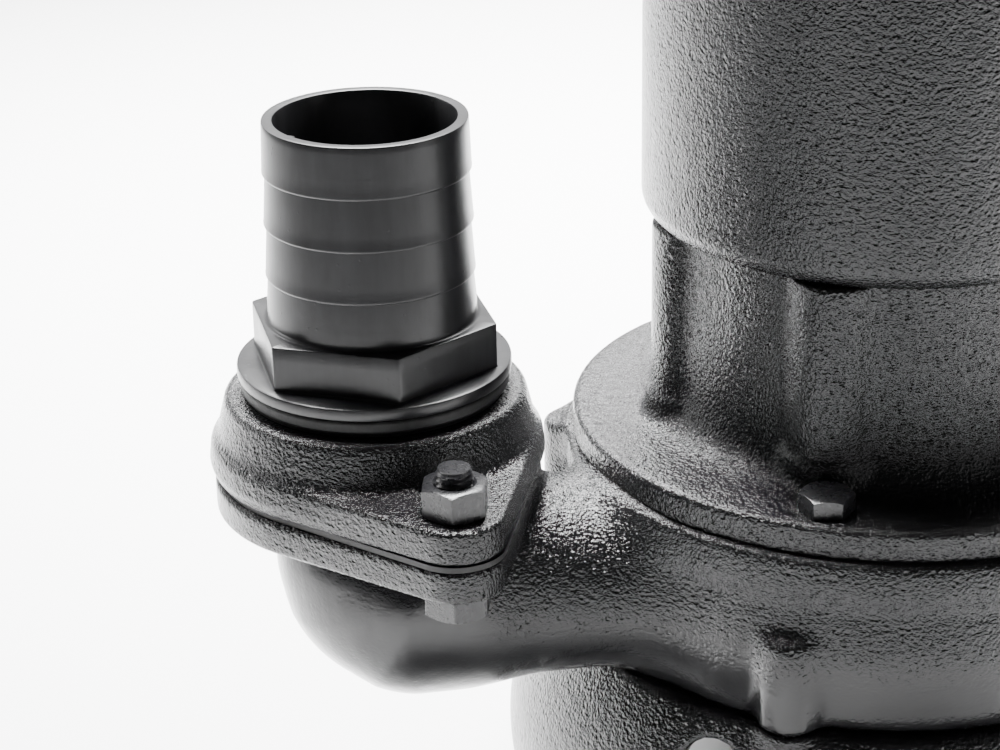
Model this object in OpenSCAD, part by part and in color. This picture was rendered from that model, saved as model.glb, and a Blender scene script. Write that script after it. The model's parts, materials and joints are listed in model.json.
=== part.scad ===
// Submersible sump pump with an upright hose barb on a two-bolt discharge flange.
// Millimetres. The shaft axis is the Z axis, the floor is z = 0, and the discharge points to -X.

/* [Motor] */
// Outside radius of the motor housing
motor_r = 68.6; // [66:0.2:74]
// Height of the motor housing's lower edge above the floor
motor_z = 187; // [187:0.5:190]
// Height of the motor housing's top joint above the floor
motor_top_z = 392; // [392:1:420]
// Stack length of the stator and rotor cores
stack_h = 110; // [80:1:115]

/* [Motor base] */
// Radius of the disc that closes the volute
disc_r = 88; // [86:0.5:92]
// Height of the disc's upper face above the floor
disc_z = 130; // [130:0.5:132]
// Thickness of the disc
disc_t = 9; // [8:0.5:9]
// Radius of the neck above the disc
neck_r = 60; // [58:0.5:62]
// Number of bolt columns around the neck
column_n = 6; // [3:1:8]
// Radius of each bolt column
column_r = 12; // [10:0.5:13]

/* [Volute] */
// Height of the discharge pipe's centre line
pipe_z = 94.6; // [94:0.1:95]
// Outside radius of the discharge pipe
pipe_r = 25.5; // [24:0.5:26]
// Distance of the discharge axis to the left of the shaft
outlet_x = 140; // [130:1:150]
// Distance of the discharge axis in front of the shaft
outlet_y = 42.6; // [40:0.1:45]
// Outer radius of the scroll where it starts
scroll_r = 84; // [83:0.5:86]
// Gain in the scroll's radius over its whole sweep
scroll_gain = 5; // [2:0.5:6]

/* [Intake base] */
// Largest radius of the barrel-shaped base
base_r = 108; // [106:0.5:112]
// Height of the base
base_h = 71; // [70:0.5:72]
// Width of each intake slot
slot_w = 19; // [10:1:24]

/* [Hose barb] */
// Inside radius of the barb
barb_bore_r = 24; // [22:0.5:24]
// Radius of the plain root that the hose end covers
barb_root_r = 28; // [27.5:0.1:29]
// Height of the barb's rim above the floor
barb_top_z = 226.5; // [220:0.5:230]
// Width across the flats of the barb's hexagon
barb_hex_af = 60; // [58:1:62]

/* [Handle] */
// Height of the grip's centre line above the cap
handle_h = 38; // [34:1:50]
// Radius of the grip
handle_r = 8; // [7:0.5:10]

/* [Hidden] */
$fn = 96;
eps = 0.01;
gap = 0.3;                       // space between a turning piece and a fixed one
bearing_gap = 0.05;              // running clearance of a ball in its groove

disc_bottom_z = disc_z - disc_t;
spigot_r = 70;                   // spigot under the disc that centres the volute
spigot_z = disc_bottom_z - 10;   // its lower face, the roof of the pump chamber
first_column = -109;             // angle of the first column and of the base's first boss
column_at = neck_r - 5.4;        // distance of a column's centre from the shaft
column_foot_h = 8;
column_gap = 0.2;                // below the motor housing
column_foot_r = column_r + 1.6;
tie_bolt_r = 3;                  // M6
tie_head_r = 5;

volute_screw_n = 3;
first_volute_screw = -105;
volute_screw_at = 77;
volute_screw_r = 4;              // M8
volute_flange_r = disc_r + 2;
volute_flange_h = 9;
volute_wall = 7;
scroll_start = -165;             // the tongue; the scroll opens clockwise from here
scroll_sweep = 310;
throat_w = 34;
throat_x = outlet_x - 40;        // where the round outlet becomes the flat throat
chamber_floor_z = base_h + 4;

outlet_bore_r = 20;
elbow_r = 31;
elbow_neck_r = 24.4;
elbow_drop = 1.2;
elbow_flange_z = 118;            // underside of the elbow's flange
elbow_flange_t = 9.3;
flange_gasket_t = 1.5;
counter_z = elbow_flange_z + elbow_flange_t + flange_gasket_t;
counter_t = 9.4;
counter_r = 44.6;
counter_boss_r = 40.6;
counter_top_z = barb_top_z - 75.6;
ear_r = 13;
ear_at = 57.4;                   // bolt centre from the discharge axis
ear_angle = -64;
flange_bolt_r = 5;               // M10
flange_bolt_af = 16;
bolt_turn = -90 - ear_angle;     // turns a corner of each hexagon to the front
bolt_head_h = 6.4;
nut_h = 8.4;
seat_boss_h = 1.5;
seat_boss_r = 9.6;

barb_thread_r = 29.7;
barb_thread_z = counter_z + 4;
collar_r = 37;
collar_z = barb_top_z - 70.5;
collar_h = 3.7;
hex_top_z = barb_top_z - 54.5;
barb_hex_turn = -13;
barb_step_h = 14;
barb_rim_r = 27;
barb_step_in = 0.95;
gasket_lip_h = 3.6;

base_wall = 7;
base_plate_t = 8;
base_belly_z = 28;               // height where the barrel is widest
base_belly = 115;                // twice the belly's radius of curvature
eye_r = 31;                      // hole that holds the wear ring
base_boss_n = 3;
base_screw_at = 88;
base_screw_r = 4;
base_screw_z = base_h - 22;      // seat of the screw's head
base_boss_r = 8.5;
base_gasket_t = 1;
volute_z = base_h + base_gasket_t;
slot_angles = [-11, 11, 33];     // angles from each boss to the intake slots after it
slot_low_z = 14;
slot_top_z = 65;

wear_r = 27;
impeller_r = 58;
impeller_bore_r = 9;
impeller_z = base_h + 2;
impeller_top_z = spigot_z - 3;
shroud_t = 5;
vane_n = 4;
vane_t = 5;
vane_in_r = 17;
vane_sweep = 75;
hub_r = 16;
key_w = 5;
key_h = 2.4;

chamber_r = 38;                  // oil chamber
chamber_top_z = 144;
web_top_z = 149;                 // 1 mm below the bearing's inner ring
lid_r = 47;
lid_t = 6;
lid_screw_n = 4;
lid_screw_at = 42.5;
lid_screw_r = 2.5;
seal_seat_r = 16;
seal_bore_r = 10.6;
seal_ring_r = 15;
seal_ring_h = 5;
spring_r = 13.6;
spring_wire_r = 1.2;
spring_turns = 5;
seal_shaft_r = 10;
seal_gap = 0.1;                  // between a turning seal face and its seat
spring_z0 = spigot_z + lid_t + seal_gap + seal_ring_h + spring_wire_r;
spring_z1 = chamber_top_z - seal_gap - seal_ring_h - spring_wire_r;
spring_steps = 16 * spring_turns;
spring_sides = 8;

bearing_z = 150;
bearing_h = 17;                  // 62 x 25 x 17 ball bearing
bearing_r = 31;
bearing_bore_r = 12.5;
bearing_ball_r = 5.2;
bearing_ball_n = 8;
circlip_t = 1.8;
top_bearing_z = 364;
top_bearing_h = 15;              // 52 x 20 x 15 ball bearing
top_bearing_r = 26;
top_bearing_bore_r = 10;
top_ball_r = 4.4;
top_ball_n = 7;
lower_ball_at = (bearing_r + bearing_bore_r) / 2;
upper_ball_at = (top_bearing_r + top_bearing_bore_r) / 2;
wave_t = 1.6;
motor_cavity_r = 46;

shaft_core_r = 15;
core_z = 222;
rotor_r = 34.4;
stator_in_r = 35;
stator_r = 60;
stator_slots = 24;
slot_in_r = 38;
slot_out_r = 50;
stator_slot_w = 4.6;
winding_h = 18;
end_ring_h = 7;

housing_flange_h = 10;
housing_flange_in_r = 48;
housing_edge_r = 7;
bracket_t = 10;
bracket_r = 72;
hub_wall = 7;
cap_r = 60;
cap_h = 34;
cap_wall = 5;
cap_roof = 8;
cap_flange_t = 7;
cap_z = motor_top_z + bracket_t;
cap_top_z = cap_z + cap_h;
cap_bolt_n = 4;
cap_bolt_at = 65.5;
cap_bolt_r = 2.5;
o_ring_r = 1.4;
handle_half = 44;
handle_z = cap_top_z + handle_h;
handle_pad_r = 11;
handle_screw_r = 3;
gland_x = 16;
gland_y = 32;
gland_r = 12;
gland_hex_af = 27;
cable_r = 5.5;
gland_body_h = 12;
gland_nut_h = 14;
capacitor_r = 11.5;
capacitor_z = cap_z + capacitor_r + 1;
capacitor_l = 62;
capacitor_y = -20;
oil_plug_angle = 41;
oil_plug_r = 5;
oil_plug_z = 140;

// ---- shared shapes ----

// A cylinder that starts at height z.
module post(r, z, h) {
    translate([0, 0, z]) cylinder(r = r, h = h);
}

// A ring between two radii.
module ring(r_out, r_in, z, h) {
    difference() {
        post(r_out, z, h);
        post(r_in, z - 1, h + 2);
    }
}

// A hexagonal prism of a given width across flats, with a corner on +X.
module hex_prism(af, z, h) {
    translate([0, 0, z]) cylinder(r = af / sqrt(3), h = h, $fn = 6);
}

// Children repeated around the shaft at a radius.
module around(n, at, first = 0) {
    for (i = [0 : n - 1]) {
        rotate([0, 0, first + i * 360 / n]) translate([at, 0, 0]) children();
    }
}

// Children moved to the vertical discharge axis.
module at_outlet() {
    translate([-outlet_x, -outlet_y, 0]) children();
}

// Children moved to both bolt centres of the discharge flange.
module at_ears() {
    for (side = [0, 180]) {
        at_outlet() rotate([0, 0, ear_angle + side]) translate([ear_at, 0, 0]) children();
    }
}

// The two-eared plate of the discharge flange.
module eared_plate(r, z, h) {
    at_outlet() rotate([0, 0, ear_angle]) translate([0, 0, z]) linear_extrude(h) {
        hull() {
            circle(r = r);
            translate([ear_at, 0]) circle(r = ear_r);
            translate([-ear_at, 0]) circle(r = ear_r);
        }
    }
}

// A horizontal cylinder along the discharge pipe's centre line, from x0 to x1.
module along_pipe(r, x0, x1) {
    translate([x0, -outlet_y, pipe_z]) rotate([0, 90, 0]) cylinder(r = r, h = x1 - x0);
}

// An O-ring or other round-section ring.
module cord_ring(r, z, wire) {
    rotate_extrude() translate([r, z]) circle(r = wire, $fn = 32);
}

// ---- discharge fitting ----

// Radius of a barb's lower lip, its widest point.
function lip_r(i) = barb_root_r - 0.1 - 0.2 * (2 - i);

// One barb seen in half section.
function barb_points(i) = [
    [i == 0 ? barb_rim_r : lip_r(i) - barb_step_in, barb_top_z - barb_step_h * i],
    [lip_r(i), barb_top_z - barb_step_h * (i + 1)]];

module hose_barb() {
    outline = concat(barb_points(0), barb_points(1), barb_points(2));
    last_z = barb_top_z - 3 * barb_step_h;
    color([0.07, 0.07, 0.08]) at_outlet() difference() {
        union() {
            rotate_extrude() polygon(concat([[0, barb_top_z]], outline, [[0, last_z]]));
            post(barb_root_r, hex_top_z - 1, last_z - hex_top_z + 2);
            rotate([0, 0, barb_hex_turn]) hex_prism(barb_hex_af, collar_z + collar_h,
                hex_top_z - collar_z - collar_h);
            post(collar_r, collar_z, collar_h + 1);
            post(barb_thread_r, barb_thread_z, collar_z - barb_thread_z + 1);
        }
        post(barb_bore_r, barb_thread_z - 1, barb_top_z - barb_thread_z + 2);
    }
}

module barb_gasket() {
    color([0.04, 0.04, 0.04]) at_outlet() difference() {
        union() {
            post(collar_r - 0.8, collar_z - gasket_lip_h, gasket_lip_h);
            post(collar_r - 2, counter_top_z, collar_z - counter_top_z);
        }
        post(barb_thread_r, counter_top_z - 1, collar_z - counter_top_z + 2);
    }
}

module discharge_flange() {
    plate_top_z = counter_z + counter_t;
    color([0.06, 0.06, 0.065]) difference() {
        union() {
            eared_plate(counter_r, counter_z, counter_t);
            at_outlet() translate([0, 0, plate_top_z - eps])
                cylinder(r1 = counter_r - 0.6, r2 = counter_boss_r,
                    h = counter_top_z - plate_top_z + eps);
        }
        at_outlet() post(barb_thread_r, counter_z - 1, counter_top_z - counter_z + 2);
        at_ears() post(flange_bolt_r + 0.5, counter_z - 1, counter_t + 2);
    }
}

module flange_gasket() {
    color([0.1, 0.1, 0.1]) difference() {
        eared_plate(counter_r - 1.5, counter_z - flange_gasket_t, flange_gasket_t);
        at_outlet() post(outlet_bore_r + 2, counter_z - 3, 4);
        at_ears() post(flange_bolt_r + 0.5, counter_z - 3, 4);
    }
}

module flange_bolts() {
    seat_z = elbow_flange_z - seat_boss_h;
    end_z = counter_z + counter_t + nut_h + 4;
    color([0.09, 0.09, 0.095]) at_ears() {
        rotate([0, 0, bolt_turn]) hex_prism(flange_bolt_af, seat_z - bolt_head_h, bolt_head_h);
        post(flange_bolt_r, seat_z - eps, end_z - seat_z + eps);
    }
}

module flange_nuts() {
    top_z = counter_z + counter_t;
    color([0.09, 0.09, 0.095]) at_ears() difference() {
        rotate([0, 0, bolt_turn]) hex_prism(flange_bolt_af, top_z, nut_h);
        post(flange_bolt_r, top_z - 1, nut_h + 2);
    }
}

// ---- volute ----

// Outline of the scroll: the radius grows evenly over its clockwise sweep.
function scroll_point(t, inset) =
    let (r = scroll_r + scroll_gain * t / scroll_sweep - inset)
    [r * cos(scroll_start - t), r * sin(scroll_start - t)];

module scroll_outline(inset) {
    polygon([for (t = [0 : 5 : scroll_sweep]) scroll_point(t, inset)]);
}

module volute_outside() {
    flange_z = disc_bottom_z - volute_flange_h;
    // the scroll and its bosses start lower and are cut level with the rest
    translate([0, 0, volute_z - 5]) linear_extrude(disc_bottom_z - volute_z + 5) scroll_outline(0);
    around(base_boss_n, base_screw_at, first_column) post(base_boss_r, volute_z - 5, 32);
    post(volute_flange_r, flange_z, volute_flange_h);
    along_pipe(pipe_r, -outlet_x, -20);
    at_outlet() translate([0, 0, pipe_z - elbow_drop]) sphere(r = elbow_r);
    at_outlet() post(elbow_neck_r, pipe_z, elbow_flange_z - pipe_z + 1);
    eared_plate(counter_r, elbow_flange_z, elbow_flange_t);
    at_ears() post(seat_boss_r, elbow_flange_z - seat_boss_h, seat_boss_h + 1);
    // lifting ear on the left side
    rotate([0, 0, 176]) translate([volute_flange_r - 2, 0, 0]) post(9, volute_z + 20, 28);
}

module volute_casing() {
    color([0.06, 0.06, 0.065]) difference() {
        volute_outside();
        // cut level over the base
        post(base_screw_at + base_boss_r + 0.5, 0, volute_z);
        // pump chamber, open at the bottom, and its flat throat to the round outlet
        post(scroll_r - 2 * volute_wall, base_h, chamber_floor_z - base_h + eps);
        translate([0, 0, chamber_floor_z - eps]) linear_extrude(spigot_z - chamber_floor_z + eps)
            scroll_outline(volute_wall);
        translate([-throat_x - eps, -outlet_y - throat_w / 2, chamber_floor_z])
            cube([throat_x - 30, throat_w, spigot_z - chamber_floor_z - 1]);
        // spigot of the motor base
        post(spigot_r, spigot_z - 1, disc_z - spigot_z);
        // outlet passage
        along_pipe(outlet_bore_r, -outlet_x, -throat_x);
        at_outlet() translate([0, 0, pipe_z]) sphere(r = outlet_bore_r);
        at_outlet() post(outlet_bore_r, pipe_z, elbow_flange_z - pipe_z + elbow_flange_t + 1);
        at_ears() post(flange_bolt_r + 0.5, elbow_flange_z - 3, elbow_flange_t + 4);
        around(volute_screw_n, volute_screw_at, first_volute_screw)
            post(volute_screw_r, disc_bottom_z - 9, 10);
        around(base_boss_n, base_screw_at, first_column) post(base_screw_r, base_h - 1, 16);
    }
}

module casing_o_ring() {
    color([0.03, 0.03, 0.03]) cord_ring(spigot_r - o_ring_r, spigot_z + 5, o_ring_r);
}

module volute_screws() {
    color([0.1, 0.1, 0.105]) around(volute_screw_n, volute_screw_at, first_volute_screw) {
        hex_prism(13, disc_z, 5.3);
        post(volute_screw_r, disc_z - disc_t - 8.5, disc_t + 8.5 + eps);
    }
}

// ---- intake base ----

// Radius of the barrel at a height: a parabola, widest at the belly.
function barrel_r(z) = base_r - pow(z - base_belly_z, 2) / base_belly;

// Half section of the barrel up to a height, its wall moved in by an inset.
module base_section(z0, z1, inset) {
    steps = 12;
    wall = [for (i = [0 : steps])
        let (z = z0 + (z1 - z0) * i / steps) [barrel_r(z) - inset, z]];
    polygon(concat([[0, z0]], wall, [[0, z1]]));
}

// Upright slot with round ends, cut outwards through the barrel's wall.
module intake_slot() {
    low = slot_low_z + slot_w / 2;
    high = slot_top_z - slot_w / 2;
    translate([-25, 0, 0]) rotate([90, 0, 90]) linear_extrude(45) {
        translate([0, low]) circle(r = slot_w / 2);
        translate([0, high]) circle(r = slot_w / 2);
        translate([-slot_w / 2, low]) square([slot_w, high - low]);
    }
}

module intake_base() {
    color([0.06, 0.06, 0.065]) difference() {
        union() {
            difference() {
                rotate_extrude() base_section(0, base_h, 0);
                rotate_extrude() base_section(-1, base_h - base_plate_t, base_wall);
            }
            around(base_boss_n, base_screw_at, first_column)
                post(base_boss_r, base_screw_z, base_h - base_screw_z);
        }
        post(eye_r, base_h - base_plate_t - 1, base_plate_t + 2);
        for (slot = slot_angles) {
            around(base_boss_n, base_r - 5, first_column + slot) intake_slot();
        }
        around(base_boss_n, base_screw_at, first_column)
            post(base_screw_r + 0.4, base_screw_z - 1, base_h - base_screw_z + 2);
    }
}

module base_gasket() {
    color([0.1, 0.1, 0.1]) ring(scroll_r - 1, scroll_r - 2 * volute_wall + 1, base_h, base_gasket_t);
}

module base_screws() {
    color([0.55, 0.55, 0.57]) around(base_boss_n, base_screw_at, first_column) {
        hex_prism(13, base_screw_z - 5.3, 5.3);
        post(base_screw_r, base_screw_z - eps, base_h - base_screw_z + 15);
    }
}

module wear_ring() {
    color([0.72, 0.55, 0.3]) ring(eye_r, wear_r, base_h - base_plate_t, base_plate_t);
}

// ---- impeller ----

// A curved vane seen from above: a circular-arc centre line from the hub to the rim.
function vane_point(t, side) =
    let (r = vane_in_r - 3 + (impeller_r - 1 - vane_in_r + 3) * t, a = vane_sweep * t,
        turn = side * vane_t / 2 / r * 180 / PI)
    [r * cos(a + turn), r * sin(a + turn)];

module vane_outline() {
    steps = 10;
    polygon(concat([for (i = [0 : steps]) vane_point(i / steps, -1)],
        [for (i = [steps : -1 : 0]) vane_point(i / steps, 1)]));
}

module impeller() {
    height = impeller_top_z - impeller_z;
    color([0.32, 0.33, 0.35]) difference() {
        union() {
            post(hub_r, impeller_z + 4, height - 4);
            post(impeller_r, impeller_top_z - shroud_t, shroud_t);
            for (i = [0 : vane_n - 1]) {
                rotate([0, 0, i * 360 / vane_n]) translate([0, 0, impeller_z])
                    linear_extrude(height - shroud_t + eps) vane_outline();
            }
        }
        post(impeller_bore_r, impeller_z, height + 1);
        translate([0, -key_w / 2, impeller_z + 3]) cube([impeller_bore_r + key_h, key_w, height]);
    }
}

module impeller_key() {
    color([0.6, 0.6, 0.62]) translate([impeller_bore_r - key_h, -key_w / 2, impeller_z + 7])
        cube([2 * key_h, key_w, impeller_top_z - impeller_z - 9]);
}

module impeller_washer() {
    color([0.75, 0.75, 0.77]) ring(13, 4.2, impeller_z + 1.8, 2.2);
}

module impeller_bolt() {
    color([0.75, 0.75, 0.77]) {
        hex_prism(13, impeller_z - 3.5, 5.3);
        post(4, impeller_z + 1, 20);
    }
}

// ---- motor base with its oil chamber ----

module motor_base_outside() {
    post(disc_r, disc_bottom_z, disc_t);
    post(spigot_r, spigot_z, disc_bottom_z - spigot_z + eps);
    post(neck_r, disc_z - eps, motor_z - disc_z + eps);
    around(column_n, column_at, first_column) {
        post(column_r, disc_z - eps, motor_z - disc_z - column_gap);
        post(column_foot_r, disc_z - eps, column_foot_h);
    }
    rotate([0, 0, oil_plug_angle]) translate([neck_r - 8, 0, oil_plug_z])
        rotate([0, 90, 0]) cylinder(r = 9, h = 11);
}

module motor_base() {
    color([0.06, 0.06, 0.065]) difference() {
        motor_base_outside();
        // recess for the lid, oil chamber, seal seat, bearing seat and motor cavity
        post(lid_r, spigot_z - 1, lid_t + 1);
        post(chamber_r, spigot_z, chamber_top_z - spigot_z);
        post(seal_seat_r, chamber_top_z - 1, web_top_z - chamber_top_z + 2);
        post(bearing_r - 4, web_top_z, 2);
        post(bearing_r, bearing_z, motor_z - bearing_z + 1);
        post(bearing_r + 1.5, bearing_z + bearing_h, circlip_t);
        post(motor_cavity_r, bearing_z + bearing_h + 5, motor_z);
        difference() {
            post(spigot_r + 1, spigot_z + 5 - o_ring_r, 2 * o_ring_r);
            post(spigot_r - 2 * o_ring_r, spigot_z, 10);
        }
        around(column_n, column_at, first_column) {
            post(tie_head_r + 0.5, spigot_z - 1, 11);
            post(tie_bolt_r + 0.2, spigot_z, motor_z - spigot_z + 1);
        }
        around(lid_screw_n, lid_screw_at, 45) post(lid_screw_r, spigot_z, 16);
        around(volute_screw_n, volute_screw_at, first_volute_screw)
            post(volute_screw_r + 0.4, disc_bottom_z - 1, disc_t + 2);
        rotate([0, 0, oil_plug_angle]) translate([chamber_r - 3, 0, oil_plug_z])
            rotate([0, 90, 0]) cylinder(r = oil_plug_r, h = 40);
    }
}

module oil_chamber_lid() {
    color([0.35, 0.36, 0.38]) difference() {
        post(lid_r, spigot_z, lid_t);
        post(seal_seat_r, spigot_z - 1, lid_t + 2);
        around(lid_screw_n, lid_screw_at, 45) post(lid_screw_r + 0.3, spigot_z - 1, lid_t + 2);
    }
}

module lid_screws() {
    color([0.75, 0.75, 0.77]) around(lid_screw_n, lid_screw_at, 45) {
        post(4, spigot_z - 2, 2);
        post(lid_screw_r, spigot_z - eps, 15);
    }
}

module lower_seal_seat() {
    color([0.85, 0.83, 0.78]) ring(seal_seat_r, seal_bore_r, spigot_z, lid_t);
}

module lower_seal_ring() {
    color([0.15, 0.15, 0.16])
        ring(seal_ring_r, seal_shaft_r, spigot_z + lid_t + seal_gap, seal_ring_h);
}

function spring_ring(i) =
    let (a = 360 * spring_turns * i / spring_steps,
        z = spring_z0 + (spring_z1 - spring_z0) * i / spring_steps)
    [for (k = [0 : spring_sides - 1])
        let (b = 360 * k / spring_sides, r = spring_r + spring_wire_r * cos(b))
        [r * cos(a), r * sin(a), z + spring_wire_r * sin(b)]];

module seal_spring() {
    rings = [for (i = [0 : spring_steps]) each spring_ring(i)];
    walls = [for (i = [0 : spring_steps - 1]) for (k = [0 : spring_sides - 1])
        let (n = (k + 1) % spring_sides, a = i * spring_sides)
        [a + k, a + spring_sides + k, a + spring_sides + n, a + n]];
    first_end = [[for (k = [0 : spring_sides - 1]) k]];
    last_end = [[for (k = [spring_sides - 1 : -1 : 0]) spring_steps * spring_sides + k]];
    color([0.75, 0.75, 0.77]) polyhedron(rings, concat(walls, first_end, last_end));
}

module upper_seal_ring() {
    color([0.15, 0.15, 0.16])
        ring(seal_ring_r, seal_shaft_r, chamber_top_z - seal_gap - seal_ring_h, seal_ring_h);
}

module upper_seal_seat() {
    color([0.85, 0.83, 0.78])
        ring(seal_seat_r, seal_bore_r, chamber_top_z, web_top_z - chamber_top_z);
}

module oil_plug() {
    color([0.6, 0.6, 0.62]) rotate([0, 0, oil_plug_angle]) translate([neck_r + 4.2, 0, oil_plug_z])
        rotate([0, 90, 0]) {
            hex_prism(13, 0, 6);
            post(oil_plug_r, -16, 16 + eps);
        }
}

module oil_plug_washer() {
    color([0.72, 0.42, 0.25]) rotate([0, 0, oil_plug_angle])
        translate([neck_r + 3, 0, oil_plug_z]) rotate([0, 90, 0]) ring(8, oil_plug_r, 0, 1.2);
}

// ---- ball bearings ----

// The groove that a bearing's balls run in.
module ball_groove(at, r, z) {
    rotate_extrude() translate([at, z]) circle(r = r, $fn = 48);
}

module bearing_outer(r, at, ball_r, z, h) {
    color([0.7, 0.7, 0.72]) difference() {
        ring(r, at + ball_r * 0.82, z, h);
        ball_groove(at, ball_r + bearing_gap, z + h / 2);
    }
}

module bearing_inner(r, at, ball_r, z, h) {
    color([0.7, 0.7, 0.72]) difference() {
        ring(at - ball_r * 0.82, r, z, h);
        ball_groove(at, ball_r + bearing_gap, z + h / 2);
    }
}

module ball_set(n, at, ball_r, z, h) {
    color([0.78, 0.66, 0.42]) {
        around(n, at) translate([0, 0, z + h / 2]) sphere(r = ball_r);
        ring(at + 1.2, at - 1.2, z + h / 2 - 2, 4);
    }
}

module lower_bearing_outer() {
    bearing_outer(bearing_r, lower_ball_at, bearing_ball_r, bearing_z, bearing_h);
}

module lower_bearing_inner() {
    bearing_inner(bearing_bore_r, lower_ball_at, bearing_ball_r, bearing_z, bearing_h);
}

module lower_bearing_balls() {
    ball_set(bearing_ball_n, lower_ball_at, bearing_ball_r, bearing_z, bearing_h);
}

module upper_bearing_outer() {
    bearing_outer(top_bearing_r, upper_ball_at, top_ball_r, top_bearing_z, top_bearing_h);
}

module upper_bearing_inner() {
    bearing_inner(top_bearing_bore_r, upper_ball_at, top_ball_r, top_bearing_z, top_bearing_h);
}

module upper_bearing_balls() {
    ball_set(top_ball_n, upper_ball_at, top_ball_r, top_bearing_z, top_bearing_h);
}

module bearing_circlip() {
    z = bearing_z + bearing_h;
    color([0.25, 0.25, 0.27]) difference() {
        ring(bearing_r + 1.5, bearing_r - 3, z, circlip_t);
        translate([bearing_r - 6, -4, z - 1]) cube([12, 8, circlip_t + 2]);
    }
}

module wave_spring() {
    color([0.7, 0.7, 0.72])
        ring(top_bearing_r - 0.5, top_bearing_r - 4, top_bearing_z + top_bearing_h, wave_t);
}

// ---- motor ----

module rotor_shaft() {
    color([0.66, 0.66, 0.68]) difference() {
        union() {
            post(impeller_bore_r, impeller_z + 4, impeller_top_z - impeller_z - 4);
            post(seal_shaft_r, impeller_top_z, bearing_z - impeller_top_z);
            post(bearing_bore_r, bearing_z, bearing_h);
            post(shaft_core_r, bearing_z + bearing_h, core_z + stack_h + 10 - bearing_z - bearing_h);
            post(seal_shaft_r, core_z + stack_h + 9, top_bearing_z - core_z - stack_h - 9);
            post(seal_shaft_r, top_bearing_z - eps, top_bearing_h);
        }
        post(4, impeller_z, 21);
        translate([impeller_bore_r - key_h, -key_w / 2, impeller_z + 7])
            cube([10, key_w, impeller_top_z - impeller_z - 9]);
    }
}

module rotor_core() {
    color([0.5, 0.5, 0.52]) {
        ring(rotor_r, shaft_core_r, core_z, stack_h);
        for (z = [core_z - end_ring_h, core_z + stack_h]) {
            ring(rotor_r - 2, rotor_r - 12, z, end_ring_h);
        }
    }
}

module stator_slots(width, r0, r1, z, h) {
    around(stator_slots, r0) translate([0, -width / 2, z]) cube([r1 - r0, width, h]);
}

module stator_core() {
    color([0.42, 0.43, 0.45]) difference() {
        ring(stator_r, stator_in_r, core_z, stack_h);
        stator_slots(stator_slot_w, slot_in_r, slot_out_r, core_z - 1, stack_h + 2);
    }
}

module stator_windings() {
    color([0.62, 0.3, 0.12]) {
        stator_slots(stator_slot_w - 0.4, slot_in_r + 0.2, slot_out_r - 0.2,
            core_z - 3, stack_h + 6);
        for (z = [core_z - winding_h, core_z + stack_h + 0.5]) {
            ring(slot_out_r + 1, slot_in_r, z, winding_h - 0.5);
        }
    }
}

module motor_housing() {
    height = motor_top_z - motor_z;
    color([0.06, 0.06, 0.065]) difference() {
        union() {
            post(motor_r, motor_z + housing_edge_r, height - housing_edge_r);
            post(motor_r - housing_edge_r, motor_z, height);
            cord_ring(motor_r - housing_edge_r, motor_z + housing_edge_r, housing_edge_r);
            post(bracket_r, motor_top_z - 9, 9);
        }
        post(housing_flange_in_r, motor_z - 1, height);
        post(stator_r, core_z, height);
        post(stator_r - 4, motor_z + housing_flange_h, height);
        around(column_n, column_at, first_column) post(tie_bolt_r, motor_z - 1, 9);
        around(cap_bolt_n, cap_bolt_at, 45) post(cap_bolt_r, motor_top_z - 12, 13);
    }
}

module tie_bolts() {
    color([0.6, 0.6, 0.62]) around(column_n, column_at, first_column) {
        post(tie_head_r, spigot_z + 4, 6);
        post(tie_bolt_r, spigot_z + 10 - eps, motor_z + 7 - spigot_z - 10);
    }
}

// ---- top of the motor ----

module upper_bracket() {
    hub_z = top_bearing_z - 3;
    roof_z = top_bearing_z + top_bearing_h + wave_t;
    color([0.06, 0.06, 0.065]) difference() {
        union() {
            post(bracket_r, motor_top_z, bracket_t);
            post(stator_r - 0.2, motor_top_z - 5, 6);
            post(top_bearing_r + hub_wall, hub_z, motor_top_z - hub_z + eps);
        }
        post(top_bearing_r, hub_z - 1, roof_z - hub_z + 1);
        around(cap_bolt_n, cap_bolt_at, 45) post(cap_bolt_r + 0.3, motor_top_z - 1, bracket_t + 2);
        around(2, 46, 90) post(5, motor_top_z - 6, bracket_t + 8);
    }
}

module cap_o_ring() {
    color([0.03, 0.03, 0.03]) cord_ring(cap_r - 1, cap_z + o_ring_r, o_ring_r);
}

module top_cap() {
    color([0.06, 0.06, 0.065]) difference() {
        union() {
            post(bracket_r, cap_z, cap_flange_t);
            post(cap_r, cap_z, cap_h - 8);
            post(cap_r - 8, cap_z, cap_h);
            cord_ring(cap_r - 8, cap_top_z - 8, 8);
            for (side = [-1, 1]) {
                translate([side * handle_half, 0, 0]) post(handle_pad_r, cap_z, cap_h);
            }
            translate([gland_x, gland_y, 0]) post(gland_r + 3, cap_z + 5, cap_h - 3);
        }
        post(cap_r - cap_wall - 2, cap_z - 1, cap_h - cap_roof + 1);
        difference() {
            post(cap_r - 1 + o_ring_r, cap_z - 1, 1 + 2 * o_ring_r);
            post(cap_r - 1 - o_ring_r, cap_z - 2, 3 + 2 * o_ring_r);
        }
        around(cap_bolt_n, cap_bolt_at, 45) post(cap_bolt_r + 0.3, cap_z - 1, cap_flange_t + 2);
        for (side = [-1, 1]) {
            translate([side * handle_half, 0, 0]) post(handle_screw_r, cap_top_z - 6, 7);
        }
        translate([gland_x, gland_y, 0]) post(gland_r - 3, cap_z, cap_h + 4);
    }
}

module cap_bolts() {
    color([0.6, 0.6, 0.62]) around(cap_bolt_n, cap_bolt_at, 45) {
        hex_prism(8, cap_z + cap_flange_t, 3.6);
        post(cap_bolt_r, motor_top_z - 10, bracket_t + cap_flange_t + 10 + eps);
    }
}

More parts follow.
